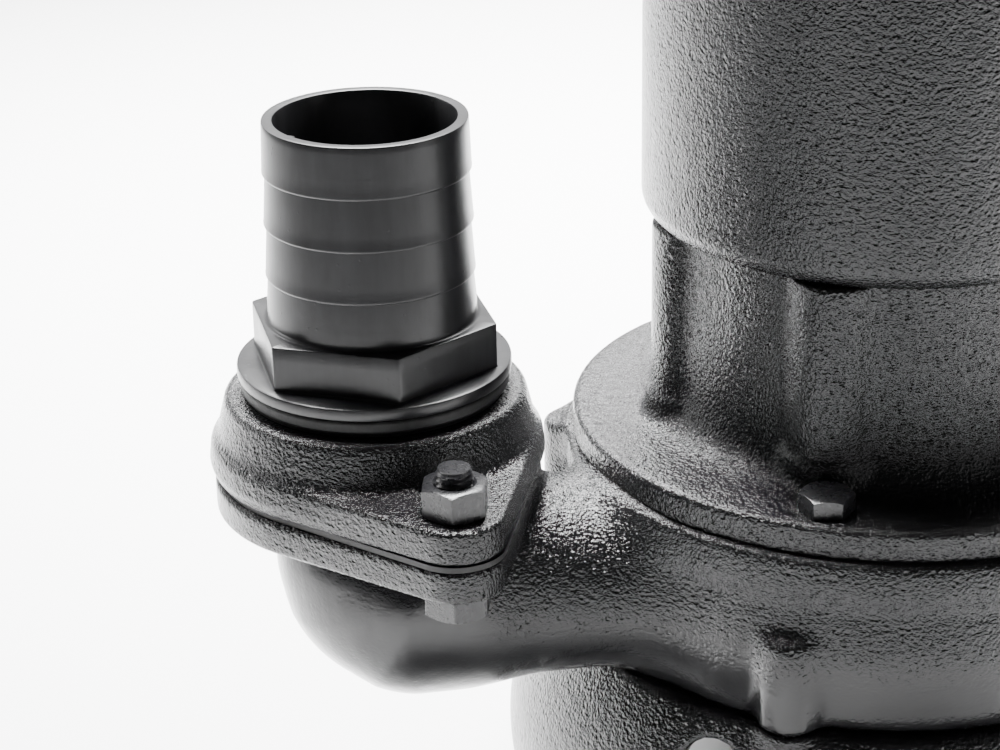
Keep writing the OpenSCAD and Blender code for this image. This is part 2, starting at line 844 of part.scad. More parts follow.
module handle() {
    foot_z = cap_top_z;
    color([0.07, 0.07, 0.075]) difference() {
        union() {
            translate([-handle_half, 0, handle_z]) rotate([0, 90, 0])
                cylinder(r = handle_r, h = 2 * handle_half);
            for (side = [-1, 1]) {
                translate([side * handle_half, 0, 0]) {
                    post(handle_r, foot_z, handle_z - foot_z);
                    translate([0, 0, handle_z]) sphere(r = handle_r);
                    post(handle_pad_r, foot_z, 5);
                }
            }
        }
        for (side = [-1, 1]) {
            translate([side * handle_half, 0, 0]) {
                post(handle_screw_r + 0.3, foot_z - 1, handle_h + handle_r + 9);
                post(5.4, foot_z + 8, handle_h + handle_r + 1);
            }
        }
    }
}

module handle_screws() {
    color([0.6, 0.6, 0.62]) for (side = [-1, 1]) {
        translate([side * handle_half, 0, 0]) {
            post(5, cap_top_z + 8, 6);
            post(handle_screw_r, cap_top_z - 6, 14 + eps);
        }
    }
}

module gland_body() {
    z = cap_top_z + 2;
    color([0.09, 0.09, 0.1]) translate([gland_x, gland_y, 0]) difference() {
        union() {
            hex_prism(gland_hex_af, z, 6);
            post(gland_r - 1, z, gland_body_h);
            post(gland_r - 3, z - 8, 9);
        }
        post(cable_r + 3, z - 9, gland_body_h + 10);
    }
}

module gland_grommet() {
    z = cap_top_z + 2 + gland_body_h - 7;
    color([0.04, 0.04, 0.04]) translate([gland_x, gland_y, 0]) ring(cable_r + 3, cable_r, z, 12);
}

module gland_nut() {
    z = cap_top_z + 8;
    color([0.09, 0.09, 0.1]) translate([gland_x, gland_y, 0]) difference() {
        union() {
            hex_prism(gland_hex_af, z + 0.4, gland_nut_h - 4);
            post(gland_r, z + 0.4, gland_nut_h);
        }
        post(gland_r - 1, z - 1, gland_body_h - 4.6);
        post(cable_r + 3.05, z, gland_nut_h + 2);
    }
}

module capacitor() {
    color([0.85, 0.85, 0.83]) translate([-capacitor_l / 2, capacitor_y, capacitor_z])
        rotate([0, 90, 0]) cylinder(r = capacitor_r, h = capacitor_l);
}

module capacitor_clip() {
    foot_w = capacitor_r + 8;
    color([0.6, 0.6, 0.62]) difference() {
        union() {
            translate([-5, capacitor_y, capacitor_z]) rotate([0, 90, 0])
                cylinder(r = capacitor_r + 1, h = 10);
            translate([-5, capacitor_y - foot_w, cap_z]) cube([10, 2 * foot_w, 1.4]);
        }
        translate([-6, capacitor_y, capacitor_z]) rotate([0, 90, 0])
            cylinder(r = capacitor_r, h = 12);
    }
}

module terminal_block() {
    color([0.9, 0.88, 0.8]) difference() {
        translate([-34, 8, cap_z]) cube([26, 14, 12]);
        for (x = [-30, -21, -12]) {
            translate([x, 15, cap_z + 4]) cylinder(r = 2.5, h = 9);
        }
    }
}

module thermal_protector() {
    color([0.2, 0.2, 0.21]) translate([0, (slot_in_r + slot_out_r) / 2 + 0.5, core_z + stack_h + winding_h])
        translate([-9, -4, 0]) cube([18, 8, 5]);
}

hose_barb();
barb_gasket();
discharge_flange();
flange_gasket();
flange_bolts();
flange_nuts();
volute_casing();
casing_o_ring();
volute_screws();
intake_base();
base_gasket();
base_screws();
wear_ring();
impeller();
impeller_key();
impeller_washer();
impeller_bolt();
motor_base();
oil_chamber_lid();
lid_screws();
lower_seal_seat();
lower_seal_ring();
seal_spring();
upper_seal_ring();
upper_seal_seat();
oil_plug();
oil_plug_washer();
lower_bearing_outer();
lower_bearing_inner();
lower_bearing_balls();
bearing_circlip();
rotor_shaft();
rotor_core();
stator_core();
stator_windings();
upper_bearing_outer();
upper_bearing_inner();
upper_bearing_balls();
wave_spring();
motor_housing();
tie_bolts();
upper_bracket();
top_cap();
cap_o_ring();
cap_bolts();
handle();
handle_screws();
gland_body();
gland_grommet();
gland_nut();
capacitor();
capacitor_clip();
terminal_block();
thermal_protector();
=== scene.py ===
"""Looks of a cast-iron submersible sump pump with an upright hose barb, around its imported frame."""
import json
import math

import bmesh
import bpy
import numpy as np
from mathutils import Matrix, Vector


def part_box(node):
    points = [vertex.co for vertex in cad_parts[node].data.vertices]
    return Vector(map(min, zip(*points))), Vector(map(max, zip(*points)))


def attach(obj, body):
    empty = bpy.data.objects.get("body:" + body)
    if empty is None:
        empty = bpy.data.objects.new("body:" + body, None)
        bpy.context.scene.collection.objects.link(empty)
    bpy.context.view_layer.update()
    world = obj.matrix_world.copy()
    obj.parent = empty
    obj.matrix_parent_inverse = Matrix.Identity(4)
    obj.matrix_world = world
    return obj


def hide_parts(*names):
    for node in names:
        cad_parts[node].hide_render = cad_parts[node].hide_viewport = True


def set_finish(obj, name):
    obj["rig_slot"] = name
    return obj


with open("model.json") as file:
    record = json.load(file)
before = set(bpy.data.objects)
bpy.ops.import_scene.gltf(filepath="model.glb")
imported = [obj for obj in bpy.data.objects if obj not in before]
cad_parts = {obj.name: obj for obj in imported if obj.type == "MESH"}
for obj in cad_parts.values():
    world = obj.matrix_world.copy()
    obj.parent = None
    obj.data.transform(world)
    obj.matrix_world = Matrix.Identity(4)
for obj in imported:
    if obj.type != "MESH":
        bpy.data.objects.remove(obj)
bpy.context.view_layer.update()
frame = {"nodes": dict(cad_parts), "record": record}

# ---- sizes in millimetres, in the frame's axes: the shaft is Z, the floor is z = 0 ----

MM = 0.001


def span(node):
    """Lowest and highest corner of a CAD node, in millimetres."""
    low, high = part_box(node)
    return np.array(low) / MM, np.array(high) / MM


def middle(node):
    """Centre of a CAD node's box, in millimetres."""
    low, high = span(node)
    return (low + high) / 2


OUTLET_X, OUTLET_Y = middle("hose_barb")[:2]
RIM_Z = span("hose_barb")[1][2]
BASE_H = span("intake_base")[1][2]
DISC_Z = 130.0
DISC_T = 9.0
DISC_R = span("motor_base")[1][0]
MOTOR_Z, MOTOR_TOP_Z = span("motor_housing")[0][2], span("motor_housing")[1][2]
CAP_Z, CAP_TOP_Z = span("top_cap")[0][2], span("handle")[0][2]
HANDLE_TOP_Z = span("handle")[1][2]

PIPE_Z = 94.6
OUTLET_BORE_R = 20.0
NECK_R = 60.0
COLUMN_AT = 54.6
COLUMN_R = 12.0
COLUMN_N = 6
FIRST_COLUMN = -109.0
BOSS_N = 3
FLANGE_LOW_Z = 118.0
FLANGE_JOINT_Z = 127.3
COUNTER_Z = 128.8
COUNTER_T = 9.4
SEAT_Z = 116.5
COUNTER_TOP_Z = RIM_Z - 75.6
COUNTER_R = 44.6
EAR_R = 13.0
EAR_AT = 57.4
EAR_ANGLE = -64.0
BOLT_R = 5.0
BOLT_AF = 16.0
HEAD_H, NUT_H = 6.4, 8.4
COLLAR_Z = RIM_Z - 70.5
HEX_TOP_Z = RIM_Z - 54.5


def polar(angle, radius, cx=0.0, cy=0.0):
    """Point at an angle in degrees and a radius from a centre."""
    return cx + radius * math.cos(math.radians(angle)), cy + radius * math.sin(math.radians(angle))


def ring_of(count, radius, first=0.0):
    """Centres spread evenly on a circle round the shaft."""
    return [polar(first + i * 360 / count, radius) for i in range(count)]


def smooth(t):
    """Smooth step from 0 to 1."""
    t = np.clip(t, 0, 1)
    return t * t * (3 - 2 * t)


# ---- making meshes ----


def put(name, points, faces, body="housing", slot=None, replaces=(), sharp=None):
    """A mesh object from points in millimetres, riding on a body."""
    mesh = bpy.data.meshes.new(name)
    mesh.from_pydata((np.asarray(points, float) * MM).tolist(), [], [list(f) for f in faces])
    made = bmesh.new()
    made.from_mesh(mesh)
    bmesh.ops.remove_doubles(made, verts=made.verts, dist=1e-7)
    bmesh.ops.dissolve_degenerate(made, edges=made.edges, dist=1e-8)
    made.to_mesh(mesh)
    made.free()
    mesh.shade_smooth()
    if sharp:
        mesh.set_sharp_from_angle(angle=math.radians(sharp))
    piece = bpy.data.objects.new(name, mesh)
    bpy.context.scene.collection.objects.link(piece)
    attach(piece, body)
    if slot:
        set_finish(piece, slot)
    if replaces:
        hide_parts(*replaces)
    return piece


def grid_faces(rows, columns, close_rows=True, close_columns=True):
    """Quads of a grid of rows x columns points, wrapped round where it is closed."""
    i, j = np.meshgrid(np.arange(rows - (not close_rows)), np.arange(columns - (not close_columns)),
                       indexing="ij")
    i, j = i.ravel(), j.ravel()
    i2, j2 = (i + 1) % rows, (j + 1) % columns
    return np.stack([i * columns + j, i2 * columns + j, i2 * columns + j2, i * columns + j2], 1)


def soft_path(corners, steps=5):
    """A closed outline of (radius, height, fillet) corners, each corner turned into a round of its
    fillet: a circular arc between the points where it touches the two sides."""
    out = []
    count = len(corners)
    for n in range(count):
        before, here, after = (np.array(corners[(n + k) % count][:2], float) for k in (-1, 0, 1))
        fillet = corners[n][2] if len(corners[n]) > 2 else 0
        to_before, to_after = before - here, after - here
        len_before, len_after = np.linalg.norm(to_before), np.linalg.norm(to_after)
        if fillet <= 0 or min(len_before, len_after) < 1e-6:
            out.append(here)
            continue
        a, b = to_before / len_before, to_after / len_after
        half = math.acos(np.clip(a @ b, -1, 1)) / 2
        if half > math.radians(88):
            out.append(here)
            continue
        reach = min(fillet / math.tan(half), 0.49 * len_before, 0.49 * len_after)
        radius = reach * math.tan(half)
        centre = here + (a + b) / np.linalg.norm(a + b) * radius / math.sin(half)
        start, end = here + a * reach - centre, here + b * reach - centre
        for t in np.linspace(0, 1, steps + 1):
            turn = start * (1 - t) + end * t
            out.append(centre + turn / np.linalg.norm(turn) * radius)
    return np.array(out)


def six_sided(angle, across, turn=0.0, power=90):
    """Radius of a hexagon with slightly rounded corners at each angle: the flats' cosines are
    joined by a high-power mean."""
    flats = np.radians(turn + 30 + 60 * np.arange(6))
    cosines = np.maximum(np.cos(angle[:, None] - flats[None, :]), 0)
    return across / 2 / (cosines ** power).sum(1) ** (1 / power)


def turned(outline, cx=0.0, cy=0.0, around=144, across=None, turn=0.0):
    """Points and faces of a closed outline of (radius, height) turned about an upright axis. Where
    across is given, no point goes outside a hexagon of that width."""
    angle = np.linspace(0, 2 * np.pi, around, endpoint=False)
    radius = np.repeat(outline[None, :, 0], around, 0)
    if across is not None:
        limit = six_sided(angle, across, turn)[:, None]
        radius = np.minimum(radius, limit)
    x = cx + radius * np.cos(angle)[:, None]
    y = cy + radius * np.sin(angle)[:, None]
    z = np.repeat(outline[None, :, 1], around, 0)
    return np.stack([x, y, z], -1).reshape(-1, 3), grid_faces(around, len(outline))


def joined(parts):
    """Several (points, faces) as one."""
    points, faces, base = [], [], 0
    for p, f in parts:
        points.append(p)
        faces.append(np.asarray(f) + base)
        base += len(p)
    return np.concatenate(points), np.concatenate(faces)


# ---- solids given by a distance field: below zero inside, in millimetres ----


def both(a, b, edge):
    """Overlap of two half-spaces or slabs, its edge rounded by a radius."""
    a, b = a + edge, b + edge
    return np.minimum(np.maximum(a, b), 0) + np.hypot(np.maximum(a, 0), np.maximum(b, 0)) - edge


def blend(a, b, fillet):
    """Union of two solids with a fillet: the smaller distance, lowered where the two are close."""
    h = np.maximum(fillet - np.abs(a - b), 0) / fillet
    return np.minimum(a, b) - h * h * fillet / 4


def carve(a, b, edge=0.01):
    """Solid a without solid b, the rim softened."""
    return -blend(-a, b, edge)


def layer(p, low, high):
    """Distance to the slab between two heights."""
    return np.abs(p[2] - (low + high) / 2) - (high - low) / 2


def post(p, cx, cy, radius, low, high, edge=1.0):
    """Upright cylinder with rounded ends."""
    return both(np.hypot(p[0] - cx, p[1] - cy) - radius, layer(p, low, high), edge)


def bar(p, start, end, r0, r1=None):
    """Round bar between two points, its radius going evenly from r0 to r1."""
    r1 = r0 if r1 is None else r1
    axis = np.array(end, float) - np.array(start, float)
    rel = [p[i] - start[i] for i in range(3)]
    t = np.clip(sum(rel[i] * axis[i] for i in range(3)) / (axis @ axis), 0, 1)
    return np.sqrt(sum((rel[i] - t * axis[i]) ** 2 for i in range(3))) - (r0 + (r1 - r0) * t)


def eared(p, radius, edge_in=0.0):
    """Flat outline of the two-eared flange: a circle and two smaller ones, joined by tangents."""
    c, s = math.cos(math.radians(EAR_ANGLE)), math.sin(math.radians(EAR_ANGLE))
    dx, dy = p[0] - OUTLET_X, p[1] - OUTLET_Y
    u, v = np.abs(dx * c + dy * s), np.abs(-dx * s + dy * c)
    ear = EAR_R - edge_in
    lean = (radius - ear) / EAR_AT
    rise = math.sqrt(1 - lean * lean)
    along = u * rise - v * lean
    side = u * lean + v * rise
    on_circle = np.hypot(u, v) - radius
    on_ear = np.hypot(u - EAR_AT, v) - ear
    return np.where(along < 0, on_circle, np.where(along > EAR_AT * rise, on_ear, side - radius))


def field_mesh(field, low, high, step):
    """Surface where a field is zero. Each grid cell that it crosses gets a vertex at the mean of the
    crossings on the cell's edges, each crossed grid edge gets a quad of the four cells round it, and
    then every vertex is moved down the field's slope on to the surface."""
    low = np.array(low, float) - 1.5 * step
    count = np.ceil((np.array(high, float) + 1.5 * step - low) / step).astype(int) + 1
    axes = [low[i] + step * np.arange(count[i]) for i in range(3)]
    value = field(np.meshgrid(*axes, indexing="ij", sparse=True))
    inside = value < 0
    corners = [(i, j, k) for i in (0, 1) for j in (0, 1) for k in (0, 1)]
    cells = count - 1
    filled = sum(inside[i:i + cells[0], j:j + cells[1], k:k + cells[2]].astype(np.int8)
                 for i, j, k in corners)
    active = (filled > 0) & (filled < 8)
    index = np.full(cells, -1)
    index[active] = np.arange(active.sum())
    cell = np.argwhere(active)
    total, hits = np.zeros(cell.shape), np.zeros(len(cell))
    for a in corners:
        for axis in range(3):
            if a[axis]:
                continue
            b = np.array(a)
            b[axis] = 1
            at_a, at_b = cell + a, cell + b
            va, vb = value[tuple(at_a.T)], value[tuple(at_b.T)]
            crossed = (va < 0) != (vb < 0)
            t = np.where(crossed, va / np.where(va == vb, 1, va - vb), 0)
            total += crossed[:, None] * (a + t[:, None] * (b - a))
            hits += crossed
    points = low + (cell + total / hits[:, None]) * step
    faces = []
    for axis in range(3):
        u, v = (axis + 1) % 3, (axis + 2) % 3
        one = np.zeros(3, int)
        one[axis] = 1
        here = inside[tuple(slice(0, count[i] - one[i]) for i in range(3))]
        there = inside[tuple(slice(one[i], count[i]) for i in range(3))]
        edge = np.argwhere(here != there)
        edge = edge[(edge[:, u] > 0) & (edge[:, v] > 0) & (edge[:, u] < cells[u]) & (edge[:, v] < cells[v])]
        quad = []
        for du, dv in ((-1, -1), (0, -1), (0, 0), (-1, 0)):
            at = edge.copy()
            at[:, u] += du
            at[:, v] += dv
            quad.append(index[tuple(at.T)])
        quad = np.stack(quad, 1)
        outward = inside[tuple(edge.T)]
        faces.append(np.where(outward[:, None], quad, quad[:, ::-1]))
    near = 0.05 * step
    for _ in range(3):
        p = list(points.T)
        here = field(p)
        slope = np.stack([(field([p[k] + near * (k == i) for k in range(3)]) - here) / near
                          for i in range(3)], 1)
        move = here[:, None] * slope / np.maximum((slope ** 2).sum(1), 0.25)[:, None]
        points = points - np.clip(move, -0.6 * step, 0.6 * step)
    return points, np.concatenate(faces)


def soft_piece(name, field, low, high, step, **how):
    """A cast or moulded piece from its distance field."""
    return put(name, *field_mesh(field, low, high, step), **how)


def hexagon_angles(turn, per_side=28):
    """Angles round a hexagon, close together at its corners."""
    offset = 30 * np.sin(np.linspace(-np.pi / 2, np.pi / 2, per_side, endpoint=False))
    return np.radians((turn + 30 + 60 * np.arange(6)[:, None] + offset[None, :]).ravel())


def hex_piece(cx, cy, low, high, across, turn=0.0, hole=0.0, cut_low=False, cut_high=True, edge=0.25):
    """Hexagonal prism. A 30 degree cone trims its corners at an end that is cut, so that the edge of
    each flat dips in an arc. A hole, if any, goes right through with a small countersink."""
    angle = hexagon_angles(turn)
    rim = six_sided(angle, across, turn)
    face = across / 2 * 0.96
    fall = (rim - face) * math.tan(math.radians(30))
    flat = np.full_like(rim, face)
    plain = rim - edge
    rows = [(plain, np.full_like(rim, low)), (rim, np.full_like(rim, low + edge))]
    if cut_low:
        rows = [(flat, np.full_like(rim, low)), (rim, low + fall)]
    rows += [(rim, rim * 0 + low + (high - low) * t) for t in (0.4, 0.6)]
    if cut_high:
        rows += [(rim, high - fall), (flat, np.full_like(rim, high))]
    else:
        rows += [(rim, np.full_like(rim, high - edge)), (plain, np.full_like(rim, high))]
    inner = [(hole + 0.6, high), (hole, high - 0.6), (hole, low + 0.6), (hole + 0.6, low)]
    if not hole:
        inner = [(0.0, high), (0.0, low)]
    rows += [(np.full_like(rim, r), np.full_like(rim, z)) for r, z in inner]
    radius, height = (np.stack(part, 1) for part in zip(*rows))
    x, y = cx + radius * np.cos(angle)[:, None], cy + radius * np.sin(angle)[:, None]
    return np.stack([x, y, height], -1).reshape(-1, 3), grid_faces(len(angle), len(rows))


def thread(cx, cy, radius, low, high, pitch, around=48, hole=0.0):
    """Screw thread with closed ends: the radius falls by 0.6 pitch between crests that rise one pitch
    each turn, and fades to the root at both ends."""
    rows = int((high - low) / pitch * 6) + 1
    angle = np.linspace(0, 2 * np.pi, around, endpoint=False)[:, None]
    z = np.linspace(low, high, rows)[None, :]
    wave = np.abs((z / pitch - angle / (2 * np.pi)) % 1 - 0.5) * 2
    ends = smooth((z - low) / pitch) * smooth((high - z) / pitch)
    r = radius - 0.55 * pitch * (1 - ends * wave)
    r = np.concatenate([np.full((around, 1), hole), r, np.full((around, 1), hole)], 1)
    z = np.concatenate([[[low]], z, [[high]]], 1) + 0 * angle
    x, y = cx + r * np.cos(angle), cy + r * np.sin(angle)
    return np.stack([x, y, z], -1).reshape(-1, 3), grid_faces(around, rows + 2)


# ---- volute, pipe and elbow ----

SCROLL_START, SCROLL_SWEEP = -165.0, 310.0
SCROLL_R, SCROLL_GAIN = 84.0, 5.0
VOLUTE_Z = BASE_H + 1
LUG_ANGLE = 176.0
PIPE_ROUTE = [(-140, 122, 24.4), (-140, 104.6, 27.6), (-137, 97.5, 30.2), (-130, PIPE_Z, 33.2),
              (-115, PIPE_Z, 31.0), (-96, PIPE_Z, 26.4), (-60, PIPE_Z, 26.2), (-12, PIPE_Z, 27.2)]
BOSS_AT, BOSS_R = 88.0, 8.5
VOLUTE_SCREWS = ring_of(3, 77.0, -105.0)
BASE_SCREWS = ring_of(BOSS_N, BOSS_AT, FIRST_COLUMN)
EARS = [polar(EAR_ANGLE + side, EAR_AT, OUTLET_X, OUTLET_Y) for side in (0, 180)]


def scroll_radius(p):
    """Outer radius of the scroll: it grows evenly clockwise over its sweep, then falls back."""
    t = (SCROLL_START - np.degrees(np.arctan2(p[1], p[0]))) % 360
    return SCROLL_R + SCROLL_GAIN * np.where(t < SCROLL_SWEEP, t / SCROLL_SWEEP,
                                             smooth((360 - t) / (360 - SCROLL_SWEEP)))


def pipe(p, thinner=0.0):
    """Discharge pipe: round bars from point to point of its route, melted into each other."""
    out = None
    for (x0, z0, r0), (x1, z1, r1) in zip(PIPE_ROUTE, PIPE_ROUTE[1:]):
        part = bar(p, (x0, OUTLET_Y, z0), (x1, OUTLET_Y, z1), r0 - thinner, r1 - thinner)
        out = part if out is None else blend(out, part, 5)
    return out


def volute_field(p):
    """Scroll under its flange, melted into the pipe, the eared flange and the bosses, then bored."""
    x, y, z = p
    r = np.hypot(x, y)
    wall = scroll_radius(p)
    belly = 3.0 * np.clip(1 - ((z - 93) / 20) ** 2, 0, 1)
    solid = both(r - wall - belly, layer(p, 50, 119), 5)
    solid = blend(solid, both(r - DISC_R - 2, layer(p, 112, 121), 1.4), 7)
    for cx, cy in BASE_SCREWS:
        solid = blend(solid, post(p, cx, cy, BOSS_R, 50, 99, 4), 4)
    solid = blend(solid, pipe(p), 9)
    lug_x, lug_y = polar(LUG_ANGLE, DISC_R)
    solid = blend(solid, post(p, lug_x, lug_y, 9, 92, 120, 2), 5)
    plate = both(eared(p, COUNTER_R), layer(p, FLANGE_LOW_Z, FLANGE_JOINT_Z), 1.5)
    for cx, cy in EARS:
        plate = blend(plate, post(p, cx, cy, 9.6, SEAT_Z, FLANGE_LOW_Z + 2, 0.6), 1.2)
    solid = blend(solid, plate, 2.5)
    solid = carve(solid, both(r - BOSS_AT - BOSS_R - 0.7, z - VOLUTE_Z, 0.5), 0.5)
    chamber = np.minimum(np.maximum(r - 70, z - BASE_H - 5), np.maximum(r - 70, 110 - z))
    chamber = np.minimum(chamber, both(r - wall + 7, layer(p, BASE_H + 4, 111), 3))
    throat = np.maximum(np.maximum(np.abs(y - OUTLET_Y) - 17, layer(p, BASE_H + 4, 110)), np.abs(x + 65) - 35)
    bored = blend(chamber, throat, 3)
    bore = blend(bar(p, (OUTLET_X, OUTLET_Y, PIPE_Z), (-98, OUTLET_Y, PIPE_Z), OUTLET_BORE_R),
                 post(p, OUTLET_X, OUTLET_Y, OUTLET_BORE_R, PIPE_Z, 160, 0.1), 2)
    solid = carve(solid, blend(bored, bore, 3), 0.6)
    for cx, cy in EARS:
        solid = carve(solid, post(p, cx, cy, BOLT_R + 0.5, 100, 160, 0.1), 0.3)
    for cx, cy in VOLUTE_SCREWS:
        solid = carve(solid, post(p, cx, cy, 4, 112, 140, 0.1), 0.3)
    for cx, cy in BASE_SCREWS:
        solid = carve(solid, post(p, cx, cy, 4, 50, BASE_H + 16, 0.1), 0.3)
    return solid


# ---- motor base ----

COLUMNS = ring_of(COLUMN_N, COLUMN_AT, FIRST_COLUMN)
PLUG_ANGLE, PLUG_Z = 41.0, 140.0
SPIGOT_R, SPIGOT_Z = 70.0, 111.0


def motor_base_field(p):
    """Disc and neck melted together, six footed columns and the plug's boss, then bored."""
    x, y, z = p
    r = np.hypot(x, y)
    solid = both(r - DISC_R, layer(p, DISC_Z - DISC_T, DISC_Z), 1.6)
    solid = np.minimum(solid, both(r - SPIGOT_R, layer(p, SPIGOT_Z, 124), 0.8))
    solid = blend(solid, both(r - NECK_R, layer(p, 124, MOTOR_Z), 0.4), 13)
    for cx, cy in COLUMNS:
        column = post(p, cx, cy, COLUMN_R, 124, MOTOR_Z - 0.2, 0.8)
        column = blend(column, post(p, cx, cy, COLUMN_R + 1.6, 124, DISC_Z + 8, 1.6), 1.5)
        solid = blend(solid, column, 2.6)
    along = x * math.cos(math.radians(PLUG_ANGLE)) + y * math.sin(math.radians(PLUG_ANGLE))
    aside = -x * math.sin(math.radians(PLUG_ANGLE)) + y * math.cos(math.radians(PLUG_ANGLE))
    boss = both(np.hypot(aside, z - PLUG_Z) - 9, np.abs(along - NECK_R + 8) - 11, 1.2)
    solid = blend(solid, boss, 4)
    hollow = post(p, 0, 0, 47, 100, 117, 0.2)
    for radius, low, high in ((38, 111, 144), (16, 140, 151), (27, 148, 152), (31, 150, 200),
                              (32.5, 167, 168.8), (46, 172, 200)):
        hollow = np.minimum(hollow, post(p, 0, 0, radius, low, high, 0.2))
    groove = np.maximum(layer(p, 114.6, 117.4), 67.2 - r)
    solid = carve(solid, np.minimum(hollow, groove), 0.3)
    for cx, cy in COLUMNS:
        solid = carve(solid, post(p, cx, cy, 5.5, 100, 121, 0.1), 0.3)
        solid = carve(solid, post(p, cx, cy, 3.2, 100, 200, 0.1), 0.3)
    for cx, cy in VOLUTE_SCREWS:
        solid = carve(solid, post(p, cx, cy, 4.4, 100, 140, 0.1), 0.3)
    plug = both(np.hypot(aside, z - PLUG_Z) - 5, np.abs(along - 55) - 22, 0.1)
    return carve(solid, plug, 0.3)


# ---- intake base ----

BASE_R = span("intake_base")[1][0]
BELLY_Z, BELLY_BEND = 28.0, 115.0
BASE_WALL, BASE_PLATE_T = 7.0, 8.0
SLOT_W, SLOT_LOW, SLOT_TOP = 19.0, 14.0, 65.0
SLOT_ANGLES = [boss * 120 + slot + FIRST_COLUMN for boss in range(BOSS_N) for slot in (-11, 11, 33)]


def barrel(z, inset=0.0):
    """Radius of the barrel at a height: a parabola, widest at the belly."""
    return BASE_R - (z - BELLY_Z) ** 2 / BELLY_BEND - inset


def intake_base_field(p):
    """Barrel hollowed from below, with three screw bosses at its top and slots right through."""
    x, y, z = p
    r = np.hypot(x, y)
    steep = 1 / np.sqrt(1 + (2 * (z - BELLY_Z) / BELLY_BEND) ** 2)
    solid = both((r - barrel(z)) * steep, z - BASE_H, 1.5)
    hollow = both((r - barrel(z, BASE_WALL)) * steep, z - (BASE_H - BASE_PLATE_T), 4)
    solid = carve(solid, hollow, 1.0)
    for cx, cy in BASE_SCREWS:
        solid = blend(solid, post(p, cx, cy, BOSS_R, BASE_H - 22, BASE_H, 1.0), 2.5)
    solid = carve(solid, post(p, 0, 0, 31, 50, 100, 0.1), 0.6)
    for angle in SLOT_ANGLES:
        c, s = math.cos(math.radians(angle)), math.sin(math.radians(angle))
        half = (SLOT_TOP - SLOT_LOW - SLOT_W) / 2
        tall = np.maximum(np.abs(z - (SLOT_TOP + SLOT_LOW) / 2) - half, 0)
        slot = np.hypot(y * c - x * s, tall) - SLOT_W / 2
        solid = carve(solid, np.maximum(slot, 80 - (x * c + y * s)), 1.6)
    for cx, cy in BASE_SCREWS:
        solid = carve(solid, post(p, cx, cy, 4.4, 40, 100, 0.1), 0.3)
    return np.maximum(np.maximum(solid, z - BASE_H), -z)


# ---- discharge flange, gasket and barb ----


def discharge_flange_field(p):
    """Eared plate with a slightly conical boss, threaded for the barb."""
    x, y, z = p
    d = np.hypot(x - OUTLET_X, y - OUTLET_Y)
    plate = both(eared(p, COUNTER_R), layer(p, COUNTER_Z, COUNTER_Z + COUNTER_T), 1.5)
    top = COUNTER_Z + COUNTER_T
    cone = COUNTER_R - 0.8 - (z - top) * 3.2 / (COUNTER_TOP_Z - top)
    boss = both(d - cone, layer(p, COUNTER_Z + 3, COUNTER_TOP_Z), 1.8)
    solid = blend(plate, boss, 3.5)
    solid = carve(solid, d - 29.7, 0.9)
    for cx, cy in EARS:
        solid = carve(solid, post(p, cx, cy, BOLT_R + 0.5, 120, 160, 0.1), 0.4)
    return solid


BARB_BORE_R, BARB_ROOT_R, BARB_STEP = 24.0, 28.0, 14.0
BARB_HEX_AF, BARB_HEX_TURN = 60.0, -13.0
COLLAR_R, COLLAR_H = 37.0, 3.7
THREAD_LOW_Z = COUNTER_Z + 4


